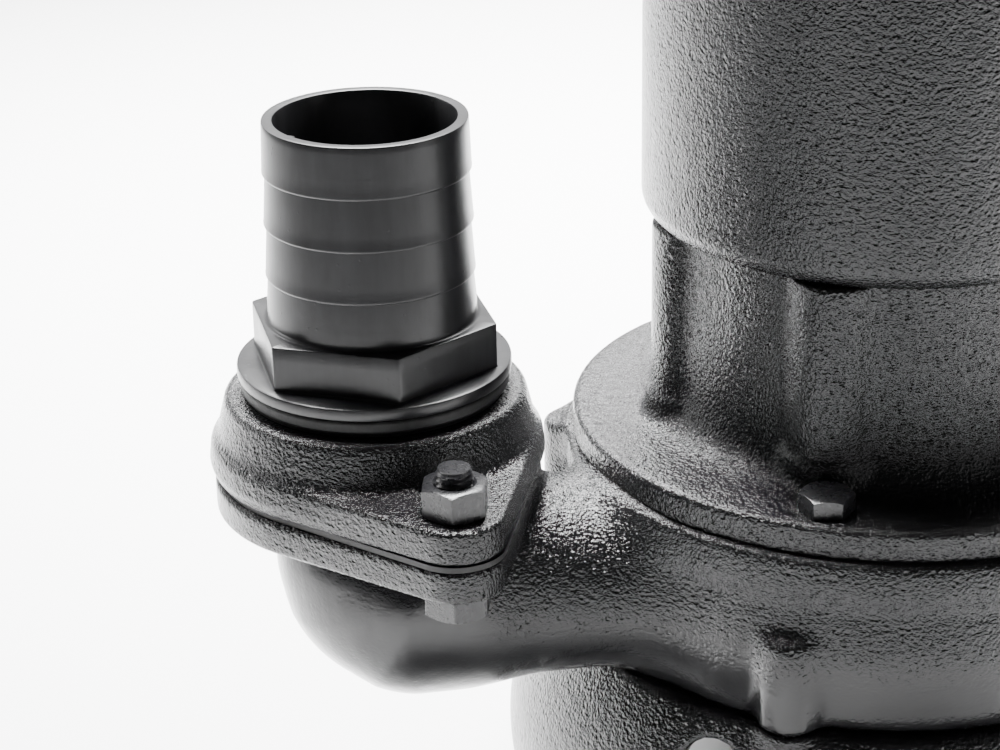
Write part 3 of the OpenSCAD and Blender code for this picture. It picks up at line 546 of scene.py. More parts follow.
def hose_barb():
    """Three barbs, plain root, hexagon, collar and thread turned round the outlet: each row of points
    has a radius, a height and, on the hexagon, how far inside its flats it stays at least."""
    free = -50.0
    rows = [(BARB_BORE_R, RIM_Z - 0.5, free), (BARB_BORE_R + 0.15, RIM_Z - 0.12, free),
            (BARB_BORE_R + 0.5, RIM_Z, free), (26.6, RIM_Z, free), (26.9, RIM_Z - 0.1, free),
            (27.0, RIM_Z - 0.4, free)]
    for i in range(3):
        low = RIM_Z - BARB_STEP * (i + 1)
        lip = 27.5 + 0.2 * i
        start = (27.0, 26.75, 26.95)[i]
        after = (26.75, 26.95, BARB_ROOT_R - 0.7)[i]
        rows += [(start + (lip - start) * t, low + BARB_STEP * (1 - t), free)
                 for t in (0.15, 0.4, 0.7, 0.93)]
        rows += [(lip + 0.02, low + 0.55, free), (lip, low + 0.3, free), (lip - 0.12, low + 0.08, free),
                 (lip - 0.35, low, free), (after + 0.12, low - 0.02, free), (after, low - 0.15, free)]
    rows += [(BARB_ROOT_R - 0.1, HEX_TOP_Z + 5, free), (BARB_ROOT_R, HEX_TOP_Z + 1.6, free)]
    rows += [(BARB_ROOT_R + 1.2 * (1 - math.cos(t)), HEX_TOP_Z + 1.2 * (1 - math.sin(t)), free)
             for t in np.linspace(0.2, np.pi / 2, 5)]
    rows += [(60, HEX_TOP_Z, 0.45), (60, HEX_TOP_Z - 0.13, 0.13), (60, HEX_TOP_Z - 0.45, 0.0),
             (60, HEX_TOP_Z - 4, 0.0), (60, HEX_TOP_Z - 8, 0.0), (60, COLLAR_Z + COLLAR_H + 0.3, 0.0),
             (60, COLLAR_Z + COLLAR_H, -0.3)]
    top, low = COLLAR_Z + COLLAR_H, COLLAR_Z
    rows += [(COLLAR_R - 0.6, top - 0.15, free), (COLLAR_R - 0.15, top - 0.35, free),
             (COLLAR_R, top - 0.8, free), (COLLAR_R, low + 0.9, free), (COLLAR_R - 0.2, low + 0.3, free),
             (COLLAR_R - 0.8, low, free), (30.0, low, free), (28.4, low - 0.6, free)]
    pitch, turns = 2.31, 7
    for k in range(2 * turns):
        rows.append(((28.4, 29.6)[k % 2], low - 1.2 - k * pitch / 2, free))
    rows += [(28.2, THREAD_LOW_Z + 0.4, free), (27.8, THREAD_LOW_Z, free),
             (BARB_BORE_R + 0.4, THREAD_LOW_Z, free), (BARB_BORE_R, THREAD_LOW_Z + 0.4, free)]
    rows += [(BARB_BORE_R, z, free) for z in np.linspace(THREAD_LOW_Z + 15, RIM_Z - 15, 4)]
    angle = hexagon_angles(BARB_HEX_TURN)
    rim = six_sided(angle, BARB_HEX_AF, BARB_HEX_TURN, power=160)[:, None]
    r, z, inside = (np.array(column)[None, :] for column in zip(*rows))
    radius = np.minimum(r, rim - inside)
    x = OUTLET_X + radius * np.cos(angle)[:, None]
    y = OUTLET_Y + radius * np.sin(angle)[:, None]
    points = np.stack([x, y, z + 0 * radius], -1).reshape(-1, 3)
    return points, grid_faces(len(angle), len(rows))


# ---- top of the motor ----

HANDLE_HALF, HANDLE_R, HANDLE_Z = 44.0, 8.0, HANDLE_TOP_Z - 8.0
GLAND_X, GLAND_Y = middle("gland_body")[:2]
CAP_R = 60.0
CAP_FLANGE_R = 72.0


def top_cap_field(p):
    """Low dome on a bolted flange, with bosses for the handle and the cable gland."""
    x, y, z = p
    r = np.hypot(x, y)
    dome = both(r - CAP_R, layer(p, CAP_Z, CAP_TOP_Z), 8)
    dome = np.maximum(dome, CAP_Z - z)
    solid = blend(dome, both(r - CAP_FLANGE_R, layer(p, CAP_Z, CAP_Z + 7), 1.4), 4)
    for side in (-1, 1):
        solid = blend(solid, post(p, side * HANDLE_HALF, 0, 11, CAP_Z + 2, CAP_TOP_Z, 1.2), 4)
    solid = blend(solid, post(p, GLAND_X, GLAND_Y, 15, CAP_Z + 8, CAP_TOP_Z + 2, 1.2), 4)
    solid = carve(solid, both(r - 53, layer(p, 380, CAP_TOP_Z - 8), 4), 0.4)
    for cx, cy in ring_of(4, 65.5, 45):
        solid = carve(solid, post(p, cx, cy, 2.8, 380, 412, 0.1), 0.3)
    for side in (-1, 1):
        solid = carve(solid, post(p, side * HANDLE_HALF, 0, 3, CAP_TOP_Z - 6, 460, 0.1), 0.3)
    return carve(solid, post(p, GLAND_X, GLAND_Y, 9, 400, 460, 0.1), 0.3)


def handle_field(p):
    """Round grip bent down into two posts that stand on pads, bored for their screws."""
    solid = bar(p, (-HANDLE_HALF, 0, HANDLE_Z), (HANDLE_HALF, 0, HANDLE_Z), HANDLE_R)
    for side in (-1, 1):
        foot = side * HANDLE_HALF
        leg = bar(p, (foot, 0, CAP_TOP_Z - 12), (foot, 0, HANDLE_Z), HANDLE_R)
        solid = blend(solid, leg, 5)
        solid = blend(solid, post(p, foot, 0, 11, CAP_TOP_Z - 8, CAP_TOP_Z + 5, 1.4), 3)
    solid = np.maximum(solid, CAP_TOP_Z - p[2])
    for side in (-1, 1):
        solid = carve(solid, post(p, side * HANDLE_HALF, 0, 5.4, CAP_TOP_Z + 8, 500, 0.1), 0.5)
        solid = carve(solid, post(p, side * HANDLE_HALF, 0, 3.3, 400, 500, 0.1), 0.3)
    return solid


def gland_nut():
    """Hexagon with a rounded dome above it, bored for the grommet and the gland's thread."""
    z = CAP_TOP_Z + 8.4
    nut = hex_piece(GLAND_X, GLAND_Y, z, z + 10, 27, 0, hole=11, cut_low=True)
    dome = soft_path([(8.55, z + 9, 0), (13, z + 9, 0.2), (13, z + 11.4, 1), (12, z + 14, 2),
                      (8.55, z + 14, 0.8)], 4)
    return joined([nut, turned(dome, GLAND_X, GLAND_Y, 72)])


def gland_body():
    """Hexagon with its clamping thread above and its fixing thread in the cap."""
    z = CAP_TOP_Z + 2
    base = hex_piece(GLAND_X, GLAND_Y, z, z + 6, 27, 0, hole=8.5, cut_low=True)
    upper = thread(GLAND_X, GLAND_Y, 11, z + 5.5, z + 12, 1.5, 60, hole=8.5)
    lower = thread(GLAND_X, GLAND_Y, 9, z - 8, z + 0.5, 1.5, 60, hole=8.45)
    return joined([base, upper, lower])


def spring_coil():
    """Round wire wound on a helix, its pitch closing up at both ends."""
    low, high = span("seal_spring")
    wire, at = 1.2, 13.6
    turns, around = 5.0, 14
    count = int(turns * 40)
    t = np.linspace(0, 1, count + 1)[:, None]
    angle = 2 * np.pi * turns * t
    z = low[2] + wire + (high[2] - low[2] - 2 * wire) * (t - 0.07 * np.sin(4 * np.pi * t) / np.pi)
    side = np.linspace(0, 2 * np.pi, around, endpoint=False)[None, :]
    r = at + wire * np.cos(side)
    points = np.stack([r * np.cos(angle), r * np.sin(angle), z + wire * np.sin(side)], -1)
    faces = [tuple(f) for f in grid_faces(count + 1, around, close_rows=False)]
    faces += [tuple(range(around))[::-1], tuple(count * around + k for k in range(around))]
    return points.reshape(-1, 3), faces


def rim_flash():
    """Torn sliver of moulding flash left on the barb's inner rim: a strip along the rim whose height
    and lean change unevenly, tapering to nothing at both ends."""
    steps, sides = 60, 6
    t = np.linspace(0, 1, steps)[:, None]
    angle = np.radians(205 + 52 * t)
    reach = np.sin(np.pi * t) ** 0.7
    ragged = 1.0 + 0.35 * np.sin(23 * t) + 0.3 * np.sin(41 * t + 1) + 0.2 * np.sin(67 * t + 2)
    width = 0.25 + 1.5 * reach * ragged
    height = 0.15 + 0.9 * reach * (1 + 0.5 * np.sin(31 * t + 0.5))
    loop = np.linspace(0, 2 * np.pi, sides, endpoint=False)[None, :]
    r = BARB_BORE_R + 0.5 - width * (0.5 + 0.5 * np.cos(loop)) + 0.2
    z = RIM_Z - 0.25 - 0.35 * height * (1 + np.cos(loop)) + 0.2 * height * np.sin(loop)
    points = np.stack([OUTLET_X + r * np.cos(angle), OUTLET_Y + r * np.sin(angle), z], -1)
    faces = [tuple(f) for f in grid_faces(steps, sides, close_rows=False)]
    faces += [tuple(range(sides))[::-1], tuple((steps - 1) * sides + k for k in range(sides))]
    return points.reshape(-1, 3), faces


def bevelled(piece, width=0.25, segments=2, angle=28):
    """Rounds a machined piece's sharp edges."""
    bevel = piece.modifiers.new("worn_edges", "BEVEL")
    bevel.width = width * MM
    bevel.segments = segments
    bevel.angle_limit = math.radians(angle)
    bevel.harden_normals = False
    return piece


def fasteners(name, places, head, shank, body="housing", slot="painted_fastener"):
    """A set of like fasteners as one piece. head is (low, high, across, turn, cut_low, cut_high) and
    shank is (low, high, radius, pitch)."""
    low, high, across, turn, cut_low, cut_high = head
    parts = []
    for cx, cy in places:
        parts.append(hex_piece(cx, cy, low, high, across, turn, 0.0, cut_low, cut_high))
        parts.append(thread(cx, cy, shank[2], shank[0], shank[1], shank[3]))
    return put(name, *joined(parts), body=body, slot=slot, replaces=[name], sharp=35)


# ---- all the pieces ----

CAST = "black_cast_paint"


def make_pieces():
    """Makes each new piece and returns them by name."""
    made = {}

    def keep(piece):
        made[piece.name.replace("_look", "")] = piece
        return piece

    grain = 1.0
    keep(soft_piece("volute_casing_look", volute_field, (-187, -116, 58), (101, 101, 129),
                    1.3 * grain, slot=CAST, replaces=["volute_casing"]))
    keep(soft_piece("motor_base_look", motor_base_field, (-89, -89, 110), (89, 89, 188),
                    1.3 * grain, slot=CAST, replaces=["motor_base"]))
    keep(soft_piece("intake_base_look", intake_base_field, (-110, -110, -1), (110, 110, BASE_H + 1),
                    1.5 * grain, slot=CAST, replaces=["intake_base"]))
    keep(soft_piece("discharge_flange_look", discharge_flange_field, (-187, -116, 128), (-93, 31, 152),
                    0.85 * grain, slot=CAST, replaces=["discharge_flange"]))
    keep(soft_piece("top_cap_look", top_cap_field, (-74, -74, 401), (74, 74, 439),
                    1.2 * grain, slot=CAST, replaces=["top_cap"]))
    keep(soft_piece("handle_look", handle_field, (-57, -13, 435), (57, 13, 484),
                    0.9 * grain, slot=CAST, replaces=["handle"]))

    keep(put("hose_barb_look", *hose_barb(), slot="black_plastic", replaces=["hose_barb"],
                    sharp=38))
    keep(put("hose_barb_flash", *rim_flash(), slot="black_plastic"))
    low = span("barb_gasket")[0]
    lip_z = COLLAR_Z - 3.4
    gasket = soft_path([(29.8, low[2], 0), (35.0, low[2], 0.5), (35.3, lip_z - 0.6, 0.4),
                        (36.2, lip_z, 0.8), (36.2, COLLAR_Z - 0.5, 1.4), (34.6, COLLAR_Z, 0.3),
                        (29.8, COLLAR_Z, 0)], 5)
    keep(put("barb_gasket_look", *turned(gasket, OUTLET_X, OUTLET_Y, 160), slot="black_rubber",
             replaces=["barb_gasket"], sharp=40))

    nut_z = COUNTER_Z + COUNTER_T
    corner = -90.0
    keep(fasteners("flange_bolts", EARS, (SEAT_Z - HEAD_H, SEAT_Z, BOLT_AF, corner, True, False),
                   (SEAT_Z - 1, nut_z + NUT_H + 4, BOLT_R, 1.5)))
    nuts = [hex_piece(cx, cy, nut_z, nut_z + NUT_H, BOLT_AF, corner, BOLT_R + 0.05, True, True)
            for cx, cy in EARS]
    keep(put("flange_nuts_look", *joined(nuts), slot="painted_fastener", replaces=["flange_nuts"],
             sharp=35))
    keep(fasteners("volute_screws", VOLUTE_SCREWS, (DISC_Z, DISC_Z + 5.3, 13, 0, False, True),
                   (DISC_Z - 17.5, DISC_Z + 1, 4, 1.25)))
    keep(fasteners("base_screws", BASE_SCREWS, (BASE_H - 27.3, BASE_H - 22, 13, 0, True, False),
                   (BASE_H - 23, BASE_H + 15, 4, 1.25), slot="bare_steel"))
    cap_places = ring_of(4, 65.5, 45)
    keep(fasteners("cap_bolts", cap_places, (CAP_Z + 7, CAP_Z + 10.6, 8, 0, False, True),
                   (CAP_Z - 20, CAP_Z + 8, 2.5, 0.8)))

    housing = soft_path([(48, MOTOR_Z, 0.8), (68.6, MOTOR_Z, 7), (68.6, MOTOR_TOP_Z - 10, 3),
                         (72, MOTOR_TOP_Z - 8.5, 1.2), (72, MOTOR_TOP_Z, 0.8), (60, MOTOR_TOP_Z, 0.5),
                         (60, 222, 0), (56, 222, 0), (56, 197, 1), (48, 197, 1)], 7)
    keep(put("motor_housing_look", *turned(filled(housing, 12), around=216), slot=CAST,
             replaces=["motor_housing"], sharp=50))
    top_in = MOTOR_TOP_Z - 31
    bracket = soft_path([(26, top_in, 0.6), (33, top_in, 1.5), (33, MOTOR_TOP_Z - 5, 3),
                         (59.8, MOTOR_TOP_Z - 5, 0.6), (59.8, MOTOR_TOP_Z, 0.3),
                         (72, MOTOR_TOP_Z, 0.8), (72, CAP_Z, 0.8), (0.01, CAP_Z, 0),
                         (0.01, 380.6, 0), (26, 380.6, 0.5)], 5)
    keep(put("upper_bracket_look", *turned(filled(bracket, 12), around=192), slot=CAST,
             replaces=["upper_bracket"], sharp=50))
    keep(bevelled(put("gland_nut_look", *gland_nut(), slot="black_plastic", replaces=["gland_nut"],
                      sharp=35)))
    keep(put("gland_body_look", *gland_body(), slot="black_plastic", replaces=["gland_body"], sharp=35))
    keep(put("seal_spring_look", *spring_coil(), body="rotor", slot="bare_steel",
             replaces=["seal_spring"]))
    return made


def filled(outline, longest):
    """The closed outline with more points, so that no stretch is longer than given."""
    out = []
    for a, b in zip(outline, np.roll(outline, -1, axis=0)):
        parts = max(1, int(math.ceil(np.linalg.norm(b - a) / longest)))
        out += [a + (b - a) * k / parts for k in range(parts)]
    return np.array(out)


# ---- materials ----


class Value:
    """A number that varies over a surface. Arithmetic on it adds Math nodes to its material."""

    def __init__(self, paint, socket):
        self.paint, self.socket = paint, socket

    def math(self, operation, *others):
        inputs = {0: self.socket}
        for n, other in enumerate(others):
            inputs[n + 1] = other.socket if isinstance(other, Value) else other
        made = self.paint.node("ShaderNodeMath", {"operation": operation}, inputs)
        return Value(self.paint, made.outputs[0])

    def __add__(self, other):
        return self.math("ADD", other)

    def __mul__(self, other):
        return self.math("MULTIPLY", other)

    def __sub__(self, other):
        return self.math("SUBTRACT", other)

    def __pow__(self, other):
        return self.math("POWER", other)

    def __rsub__(self, other):
        return (self * -1).math("ADD", other)

    __radd__, __rmul__ = __add__, __mul__

    def clip(self):
        return self.math("MAXIMUM", 0.0).math("MINIMUM", 1.0)

    def ramp(self, low, high):
        """0 below low, 1 above high and even between them; low may be the larger."""
        return ((self - low) * (1 / (high - low))).clip()


class Paint:
    """One material: a Principled shader and the nodes that vary it over the surface."""

    def __init__(self, name, color=(0.5, 0.5, 0.5), roughness=0.4, metallic=0.0, **constants):
        self.material = bpy.data.materials.new(name)
        self.material.use_nodes = True
        self.tree = self.material.node_tree
        self.tree.nodes.clear()
        self.shader = self.node("ShaderNodeBsdfPrincipled")
        self.node("ShaderNodeOutputMaterial", {}, {"Surface": self.shader.outputs[0]})
        self.put("Base Color", (*color, 1))
        self.put("Roughness", roughness)
        self.put("Metallic", metallic)
        for socket, value in constants.items():
            self.put(socket.replace("_", " "), value)
        self.place = self.node("ShaderNodeTexCoord").outputs["Object"]
        apart = self.node("ShaderNodeSeparateXYZ", {}, {0: self.place})
        self.x, self.y, self.z = (Value(self, apart.outputs[i]) * (1 / MM) for i in range(3))

    def node(self, kind, settings=(), inputs=()):
        """Adds a node, sets it up and then sets or links its sockets."""
        made = self.tree.nodes.new(kind)
        for key, value in dict(settings).items():
            setattr(made, key, value)
        for key, value in dict(inputs).items():
            if isinstance(value, Value):
                value = value.socket
            if isinstance(value, bpy.types.NodeSocket):
                self.tree.links.new(value, made.inputs[key])
            else:
                made.inputs[key].default_value = value
        return made

    def put(self, socket, value):
        """Sets or links one of the shader's own sockets."""
        if isinstance(value, Value):
            value = value.socket
        if isinstance(value, bpy.types.NodeSocket):
            self.tree.links.new(value, self.shader.inputs[socket])
        else:
            self.shader.inputs[socket].default_value = value

    def stretched(self, across=1.0, upright=1.0):
        """The place, shrunk along some axes so that a pattern is drawn out along them."""
        return self.node("ShaderNodeMapping", {}, {"Vector": self.place,
                                                   "Scale": (across, across, upright)}).outputs[0]

    def noise(self, size, detail=2.0, rough=0.5, vector=None):
        """Noise from 0 to 1 with blotches of a size in millimetres."""
        made = self.node("ShaderNodeTexNoise", {}, {"Vector": vector or self.place,
                         "Scale": 1 / (size * MM), "Detail": detail, "Roughness": rough})
        return Value(self, made.outputs[0])

    def cells(self, size, feature="F1"):
        """Distance to the nearest of points strewn a size apart, in millimetres."""
        made = self.node("ShaderNodeTexVoronoi", {"feature": feature},
                         {"Vector": self.place, "Scale": 1 / (size * MM)})
        return Value(self, made.outputs[0])

    def mix(self, amount, first, second):
        """Colour that goes from the first to the second; either may be a plain colour."""
        def filled_in(c):
            return (*c, 1) if isinstance(c, tuple) else c
        made = self.node("ShaderNodeMix", {"data_type": "RGBA"},
                         {0: amount, 6: filled_in(first), 7: filled_in(second)})
        return made.outputs[2]

    def relief(self, height, depth, strength=1.0):
        """Bump of a height from 0 to 1 and a depth in millimetres."""
        bump = self.node("ShaderNodeBump", {}, {"Strength": strength, "Distance": depth * MM,
                                                "Height": height})
        self.put("Normal", bump.outputs[0])

    def upward(self):
        """How far the surface faces up, from -1 to 1."""
        normal = self.node("ShaderNodeNewGeometry").outputs["Normal"]
        return Value(self, self.node("ShaderNodeSeparateXYZ", {}, {0: normal}).outputs[2])


def cast_paint(name, grain=1.0, where=None):
    """Gloss black paint over sand-cast iron: grains under the skin, sags and runs in the film, pits
    that it didn't fill. where is a function of the paint that gives how strong the grain is."""
    paint = Paint(name, (0.011, 0.011, 0.012), 0.2, 0.0, Specular_IOR_Level=0.55)
    strength = where(paint) if where else Value(paint, paint.noise(30, 1).socket).ramp(-0.6, 0.5)
    lumps = paint.noise(0.8 * grain, 2.0, 0.55)
    coarse = paint.noise(2.1 * grain, 1.5, 0.5)
    runs = paint.noise(5.0, 1.0, 0.5, paint.stretched(1.0, 0.35))
    pits = paint.cells(2.3 * grain).ramp(0.34, 0.12)
    height = (lumps * 0.7 + coarse * 0.35) * strength + runs * 0.25 - pits * strength * 0.3
    paint.relief(height, 0.8)
    film = paint.noise(9.0, 3.0)
    paint.put("Roughness", 0.1 + 0.1 * film + 0.1 * pits * strength)
    # Painted top light with dust: up-facing surfaces get a lighter base colour in patches. This is partly
    # dust and partly a painted stand-in for the bright sky that the tops face.
    dust_and_top_light = (paint.upward().ramp(0.5, 1.0) * paint.noise(6.0, 4.0).ramp(0.45, 0.8)) * 0.5
    paint.put("Base Color", paint.mix(dust_and_top_light, (0.011, 0.011, 0.012), (0.028, 0.028, 0.030)))
    return paint.material


def painted_fastener(name):
    """Zinc-plated bolt under a thick coat of gloss black that has softened its edges."""
    paint = Paint(name, (0.03, 0.03, 0.032), 0.22, 0.0, Specular_IOR_Level=0.6)
    wear = paint.noise(2.2, 4.0, 0.6).ramp(0.62, 0.72)
    paint.put("Base Color", paint.mix(wear * 0.6, (0.02, 0.02, 0.022), (0.07, 0.07, 0.075)))
    paint.put("Roughness", 0.18 + 0.2 * paint.noise(3.0, 2.0))
    paint.relief(paint.noise(1.8, 2.0) * 0.7 + paint.noise(0.5, 1.0) * 0.3, 0.12)
    return paint.material


def moulded_plastic(name):
    """Black glass-filled nylon, satin, with faint flow marks along it and a parting line."""
    paint = Paint(name, (0.016, 0.016, 0.017), 0.3, 0.0, Specular_IOR_Level=0.5)
    flow = paint.noise(7.0, 3.0, 0.6, paint.stretched(1.0, 0.2))
    specks = paint.cells(3.4).ramp(0.13, 0.05)
    paint.put("Base Color", paint.mix(flow.ramp(0.35, 0.75), (0.012, 0.012, 0.013),
                                      (0.024, 0.024, 0.026)))
    paint.put("Roughness", 0.24 + 0.14 * flow + 0.12 * specks)
    paint.relief(flow * 0.5 + paint.noise(0.45, 2.0) * 0.12 + specks * 0.25, 0.12)
    return paint.material


def rubber(name):
    """Moulded nitrile rubber, matt, with bloom."""
    paint = Paint(name, (0.012, 0.012, 0.012), 0.55, 0.0)
    bloom = paint.noise(4.0, 4.0, 0.6)
    paint.put("Base Color", paint.mix(bloom.ramp(0.4, 0.8), (0.008, 0.008, 0.008),
                                      (0.03, 0.03, 0.03)))
    paint.put("Roughness", 0.42 + 0.25 * bloom)
    paint.relief(paint.noise(0.7, 2.0), 0.08)
    return paint.material


def bare_iron(name):
    """Unpainted grey iron: matt cast skin, darker in its pores, a little rust bloom."""
    paint = Paint(name, (0.12, 0.12, 0.125), 0.55, 0.85)
    pores = paint.noise(1.4, 4.0, 0.65)
    rust = paint.noise(11.0, 5.0, 0.65).ramp(0.56, 0.72)
    tone = paint.mix(pores, (0.09, 0.09, 0.095), (0.24, 0.24, 0.25))
    paint.put("Base Color", paint.mix(rust * 0.45, tone, (0.16, 0.07, 0.035)))
    paint.put("Metallic", 0.85 - 0.6 * rust)
    paint.put("Roughness", 0.42 + 0.3 * pores + 0.2 * rust)
    paint.relief(pores + paint.cells(2.6).ramp(0.4, 0.1) * -0.4, 0.35)
    return paint.material


def turned_steel(name, color=(0.56, 0.56, 0.58), feed=0.45, roughness=0.26):
    """Lathe-turned steel: fine rings along the shaft's axis and faint stains."""
    paint = Paint(name, color, roughness, 1.0)
    rings = paint.noise(feed, 1.0, 0.5, paint.stretched(0.05, 1.0))
    stain = paint.noise(14.0, 4.0, 0.6)
    dark = tuple(0.72 * c for c in color)
    paint.put("Base Color", paint.mix(stain.ramp(0.35, 0.75), color, dark))
    paint.put("Roughness", roughness - 0.05 + 0.14 * rings + 0.1 * stain)
    paint.relief(rings, 0.03)
    return paint.material


def laminations(name):
    """Pressed stack of 0.5 mm electrical steel sheets seen at their edges, varnished."""
    paint = Paint(name, (0.2, 0.205, 0.215), 0.38, 0.9)
    sheets = (paint.z * (2 * math.pi / 1.0)).math("SINE") * 0.5 + 0.5
    shade = paint.noise(2.5, 3.0, 0.6, paint.stretched(0.15, 1.0))
    paint.put("Base Color", paint.mix((sheets * 0.5 + shade * 0.5), (0.09, 0.092, 0.1),
                                      (0.34, 0.345, 0.36)))
    paint.put("Roughness", 0.3 + 0.25 * shade)
    paint.relief(sheets, 0.12)
    return paint.material


def enamelled_copper(name):
    """Wound magnet wire under varnish: fine parallel strands, amber to dark copper."""
    paint = Paint(name, (0.55, 0.2, 0.07), 0.25, 0.9, Coat_Weight=0.4)
    strands = (paint.z * (2 * math.pi / 0.9) + paint.noise(6.0, 2.0) * 6.0).math("SINE") * 0.5 + 0.5
    age = paint.noise(5.0, 4.0, 0.6)
    tone = paint.mix(age, (0.34, 0.1, 0.03), (0.72, 0.3, 0.11))
    paint.put("Base Color", paint.mix(strands * 0.6, (0.16, 0.045, 0.015), tone))
    paint.put("Roughness", 0.2 + 0.25 * age)
    paint.relief(strands, 0.25)
    return paint.material


def stone(name, light, dark, size, roughness):
    """Hard fine-grained ring material, lapped: ceramic or carbon."""
    paint = Paint(name, light, roughness, 0.0)
    grain = paint.noise(size, 4.0, 0.6)
    paint.put("Base Color", paint.mix(grain.ramp(0.3, 0.75), light, dark))
    paint.put("Roughness", roughness + 0.12 * grain)
    paint.relief(grain, 0.02)
    return paint.material


def pale_plastic(name):
    """Cream moulded plastic with a fine eggshell skin."""
    paint = Paint(name, (0.72, 0.69, 0.6), 0.42, 0.0)
    tone = paint.noise(8.0, 3.0)
    paint.put("Base Color", paint.mix(tone, (0.76, 0.73, 0.64), (0.63, 0.6, 0.5)))
    paint.put("Roughness", 0.36 + 0.16 * tone)
    paint.relief(paint.noise(0.4, 2.0), 0.05)
    return paint.material


def casting_grain(paint):
    """Grain of the volute: full on the walls that stood in sand, faint on the cored elbow and under
    the pipe, where the film has run smooth."""
    under = paint.z.ramp(84, 97)
    beside = paint.x.ramp(-114, -104)
    return (under * beside * 0.9 + 0.1) + paint.z.ramp(112, 118) * (1 - beside) * 0.9


FINISHES = {
    "black_cast_paint": cast_paint("black_cast_paint"),
    "painted_fastener": painted_fastener("painted_fastener"),
    "black_plastic": moulded_plastic("black_plastic"),
    "black_rubber": rubber("black_rubber"),
    "grey_iron": bare_iron("grey_iron"),
    "bare_steel": turned_steel("bare_steel"),
    "bearing_steel": turned_steel("bearing_steel", (0.7, 0.7, 0.71), 0.25, 0.12),
    "lamination_steel": laminations("lamination_steel"),
    "bronze": turned_steel("bronze", (0.62, 0.39, 0.16), 0.5, 0.3),
    "copper": enamelled_copper("copper"),
    "ceramic": stone("ceramic", (0.82, 0.8, 0.74), (0.7, 0.67, 0.6), 1.2, 0.15),
    "carbon": stone("carbon", (0.03, 0.03, 0.032), (0.055, 0.055, 0.058), 0.8, 0.3),
    "pale_plastic": pale_plastic("pale_plastic"),
}


def give(piece, material):
    """The material in all of a piece's slots, or in a new one where it has none."""
    if not piece.data.materials:
        piece.data.materials.append(material)
    for n in range(len(piece.data.materials)):
        piece.data.materials[n] = material


def finish_all(made):
    """Each new piece takes its slot's finish, and each CAD node the finish of its record slot."""
    for piece in made.values():
        give(piece, FINISHES[piece["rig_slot"]])
    give(made["volute_casing"], cast_paint("volute_paint", 1.0, casting_grain))
    for entry in frame["record"]["subparts"]:
        give(frame["nodes"][entry["node"]], FINISHES[entry["material_slot"]])


# ---- camera, lights and floor ----


def camera():
    """Long lens from the front left, above the discharge, with the horizon tilted by a degree."""
    down, aside, roll = (math.radians(a) for a in (23.0844, 3.7235, -1.0926))
    c, s = math.cos(aside), math.sin(aside)
    right = np.array([c, s, 0])
    up = np.array([-s * math.sin(down), c * math.sin(down), math.cos(down)])
    forward = np.array([-s * math.cos(down), c * math.cos(down), -math.sin(down)])
    turned_right = right * math.cos(roll) + up * math.sin(roll)
    turned_up = -right * math.sin(roll) + up * math.cos(roll)
    lens = bpy.data.cameras.new("camera")
    lens.lens = 90.125
    lens.sensor_width = 36
    lens.clip_start = 0.01
    eye = bpy.data.objects.new("camera", lens)
    stand = (-0.065904, -0.66168, 0.418251)
    columns = np.stack([turned_right, turned_up, -forward, stand], 1)
    eye.matrix_world = Matrix([*columns.tolist(), [0, 0, 0, 1]])
    bpy.context.scene.collection.objects.link(eye)
    bpy.context.scene.camera = eye


def floor():
    """Pale studio table that the pump stands on."""
    mesh = bpy.data.meshes.new("table")
    r = 6.0
    mesh.from_pydata([(-r, -r, 0), (r, -r, 0), (r, r, 0), (-r, r, 0)], [], [(0, 1, 2, 3)])
    table = bpy.data.objects.new("table", mesh)
    bpy.context.scene.collection.objects.link(table)
    paint = Paint("table_top", (0.9, 0.9, 0.9), 0.7)
    paint.put("Base Color", paint.mix(paint.noise(400, 2.0), (0.92, 0.92, 0.92), (0.88, 0.88, 0.88)))
    mesh.materials.append(paint.material)


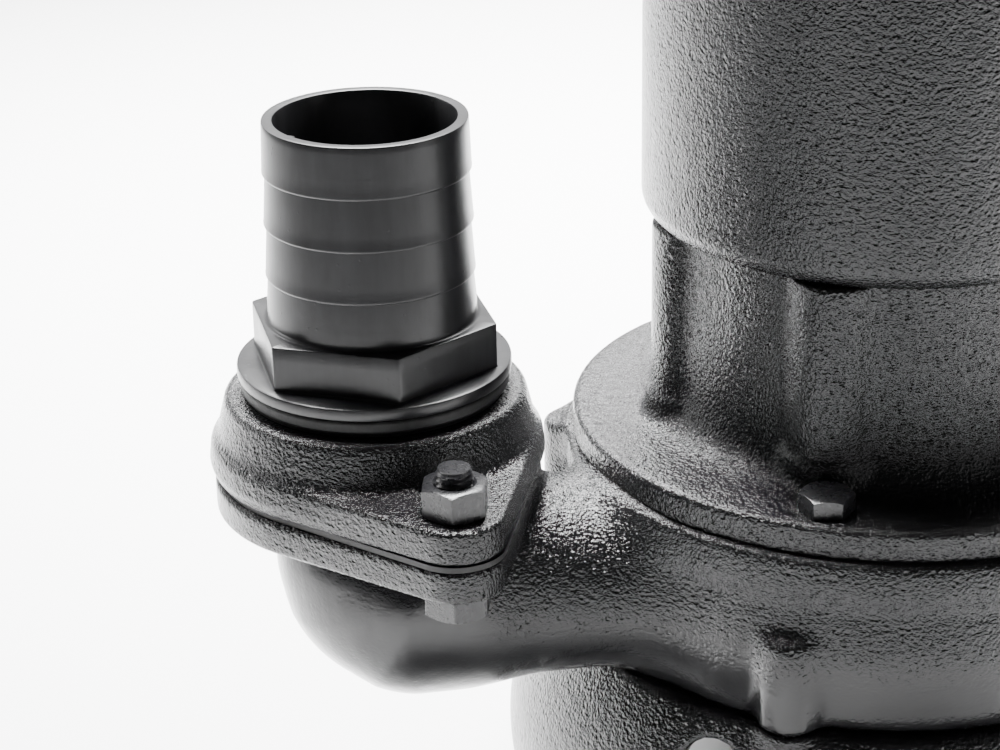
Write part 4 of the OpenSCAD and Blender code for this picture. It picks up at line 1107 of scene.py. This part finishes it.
def soft_box(name, place, aim, size, power, tall=None, spread=180.0):
    """Rectangular soft light at a place, turned towards a point, its beam narrowed to a spread; metres,
    watts and degrees."""
    light = bpy.data.lights.new(name, "AREA")
    light.shape = "RECTANGLE"
    light.size, light.size_y = size, tall or size
    light.energy = power
    light.spread = math.radians(spread)
    holder = bpy.data.objects.new(name, light)
    holder.location = place
    away = np.array(place, float) - np.array(aim, float)
    holder.rotation_mode = "QUATERNION"
    holder.rotation_quaternion = Vector(away).to_track_quat("Z", "Y")
    bpy.context.scene.collection.objects.link(holder)


def sky():
    """Dim studio with one broad bright window behind the pump, its left edge fairly sharp."""
    world = bpy.data.worlds.new("studio")
    bpy.context.scene.world = world
    world.use_nodes = True
    tree = world.node_tree
    tree.nodes.clear()

    def step(operation, first, second, third=None):
        made = tree.nodes.new("ShaderNodeMath")
        made.operation = operation
        for n, value in enumerate(v for v in (first, second, third) if v is not None):
            if isinstance(value, bpy.types.NodeSocket):
                tree.links.new(value, made.inputs[n])
            else:
                made.inputs[n].default_value = value
        return made.outputs[0]

    def ramp(value, low, high):
        made = step("MULTIPLY_ADD", value, 1 / (high - low), -low / (high - low))
        return step("MINIMUM", step("MAXIMUM", made, 0.0), 1.0)

    place = tree.nodes.new("ShaderNodeTexCoord").outputs["Generated"]
    apart = tree.nodes.new("ShaderNodeSeparateXYZ")
    tree.links.new(place, apart.inputs[0])
    back = ramp(apart.outputs[1], 0.3, 0.5)
    low = ramp(apart.outputs[2], 0.85, 0.6)
    window = step("MULTIPLY", back, low)
    glow = tree.nodes.new("ShaderNodeBackground")
    glow.inputs[0].default_value = (1, 1, 1, 1)
    tree.links.new(step("MULTIPLY_ADD", window, 1.5, 0.05), glow.inputs[1])
    out = tree.nodes.new("ShaderNodeOutputWorld")
    tree.links.new(glow.outputs[0], out.inputs[0])


camera()
sky()
floor()
soft_box("top_window", (-0.1, 0.75, 1.25), (0, 0.45, 0), 1.1, 75, spread=80)
soft_box("left_window", (-1.3, 0.35, 0.55), (-0.1, 0, 0.12), 0.5, 5)
soft_box("right_window", (1.15, -0.4, 0.45), (-0.14, -0.04, 0.15), 0.5, 1.6, 0.8)
made = make_pieces()
finish_all(made)
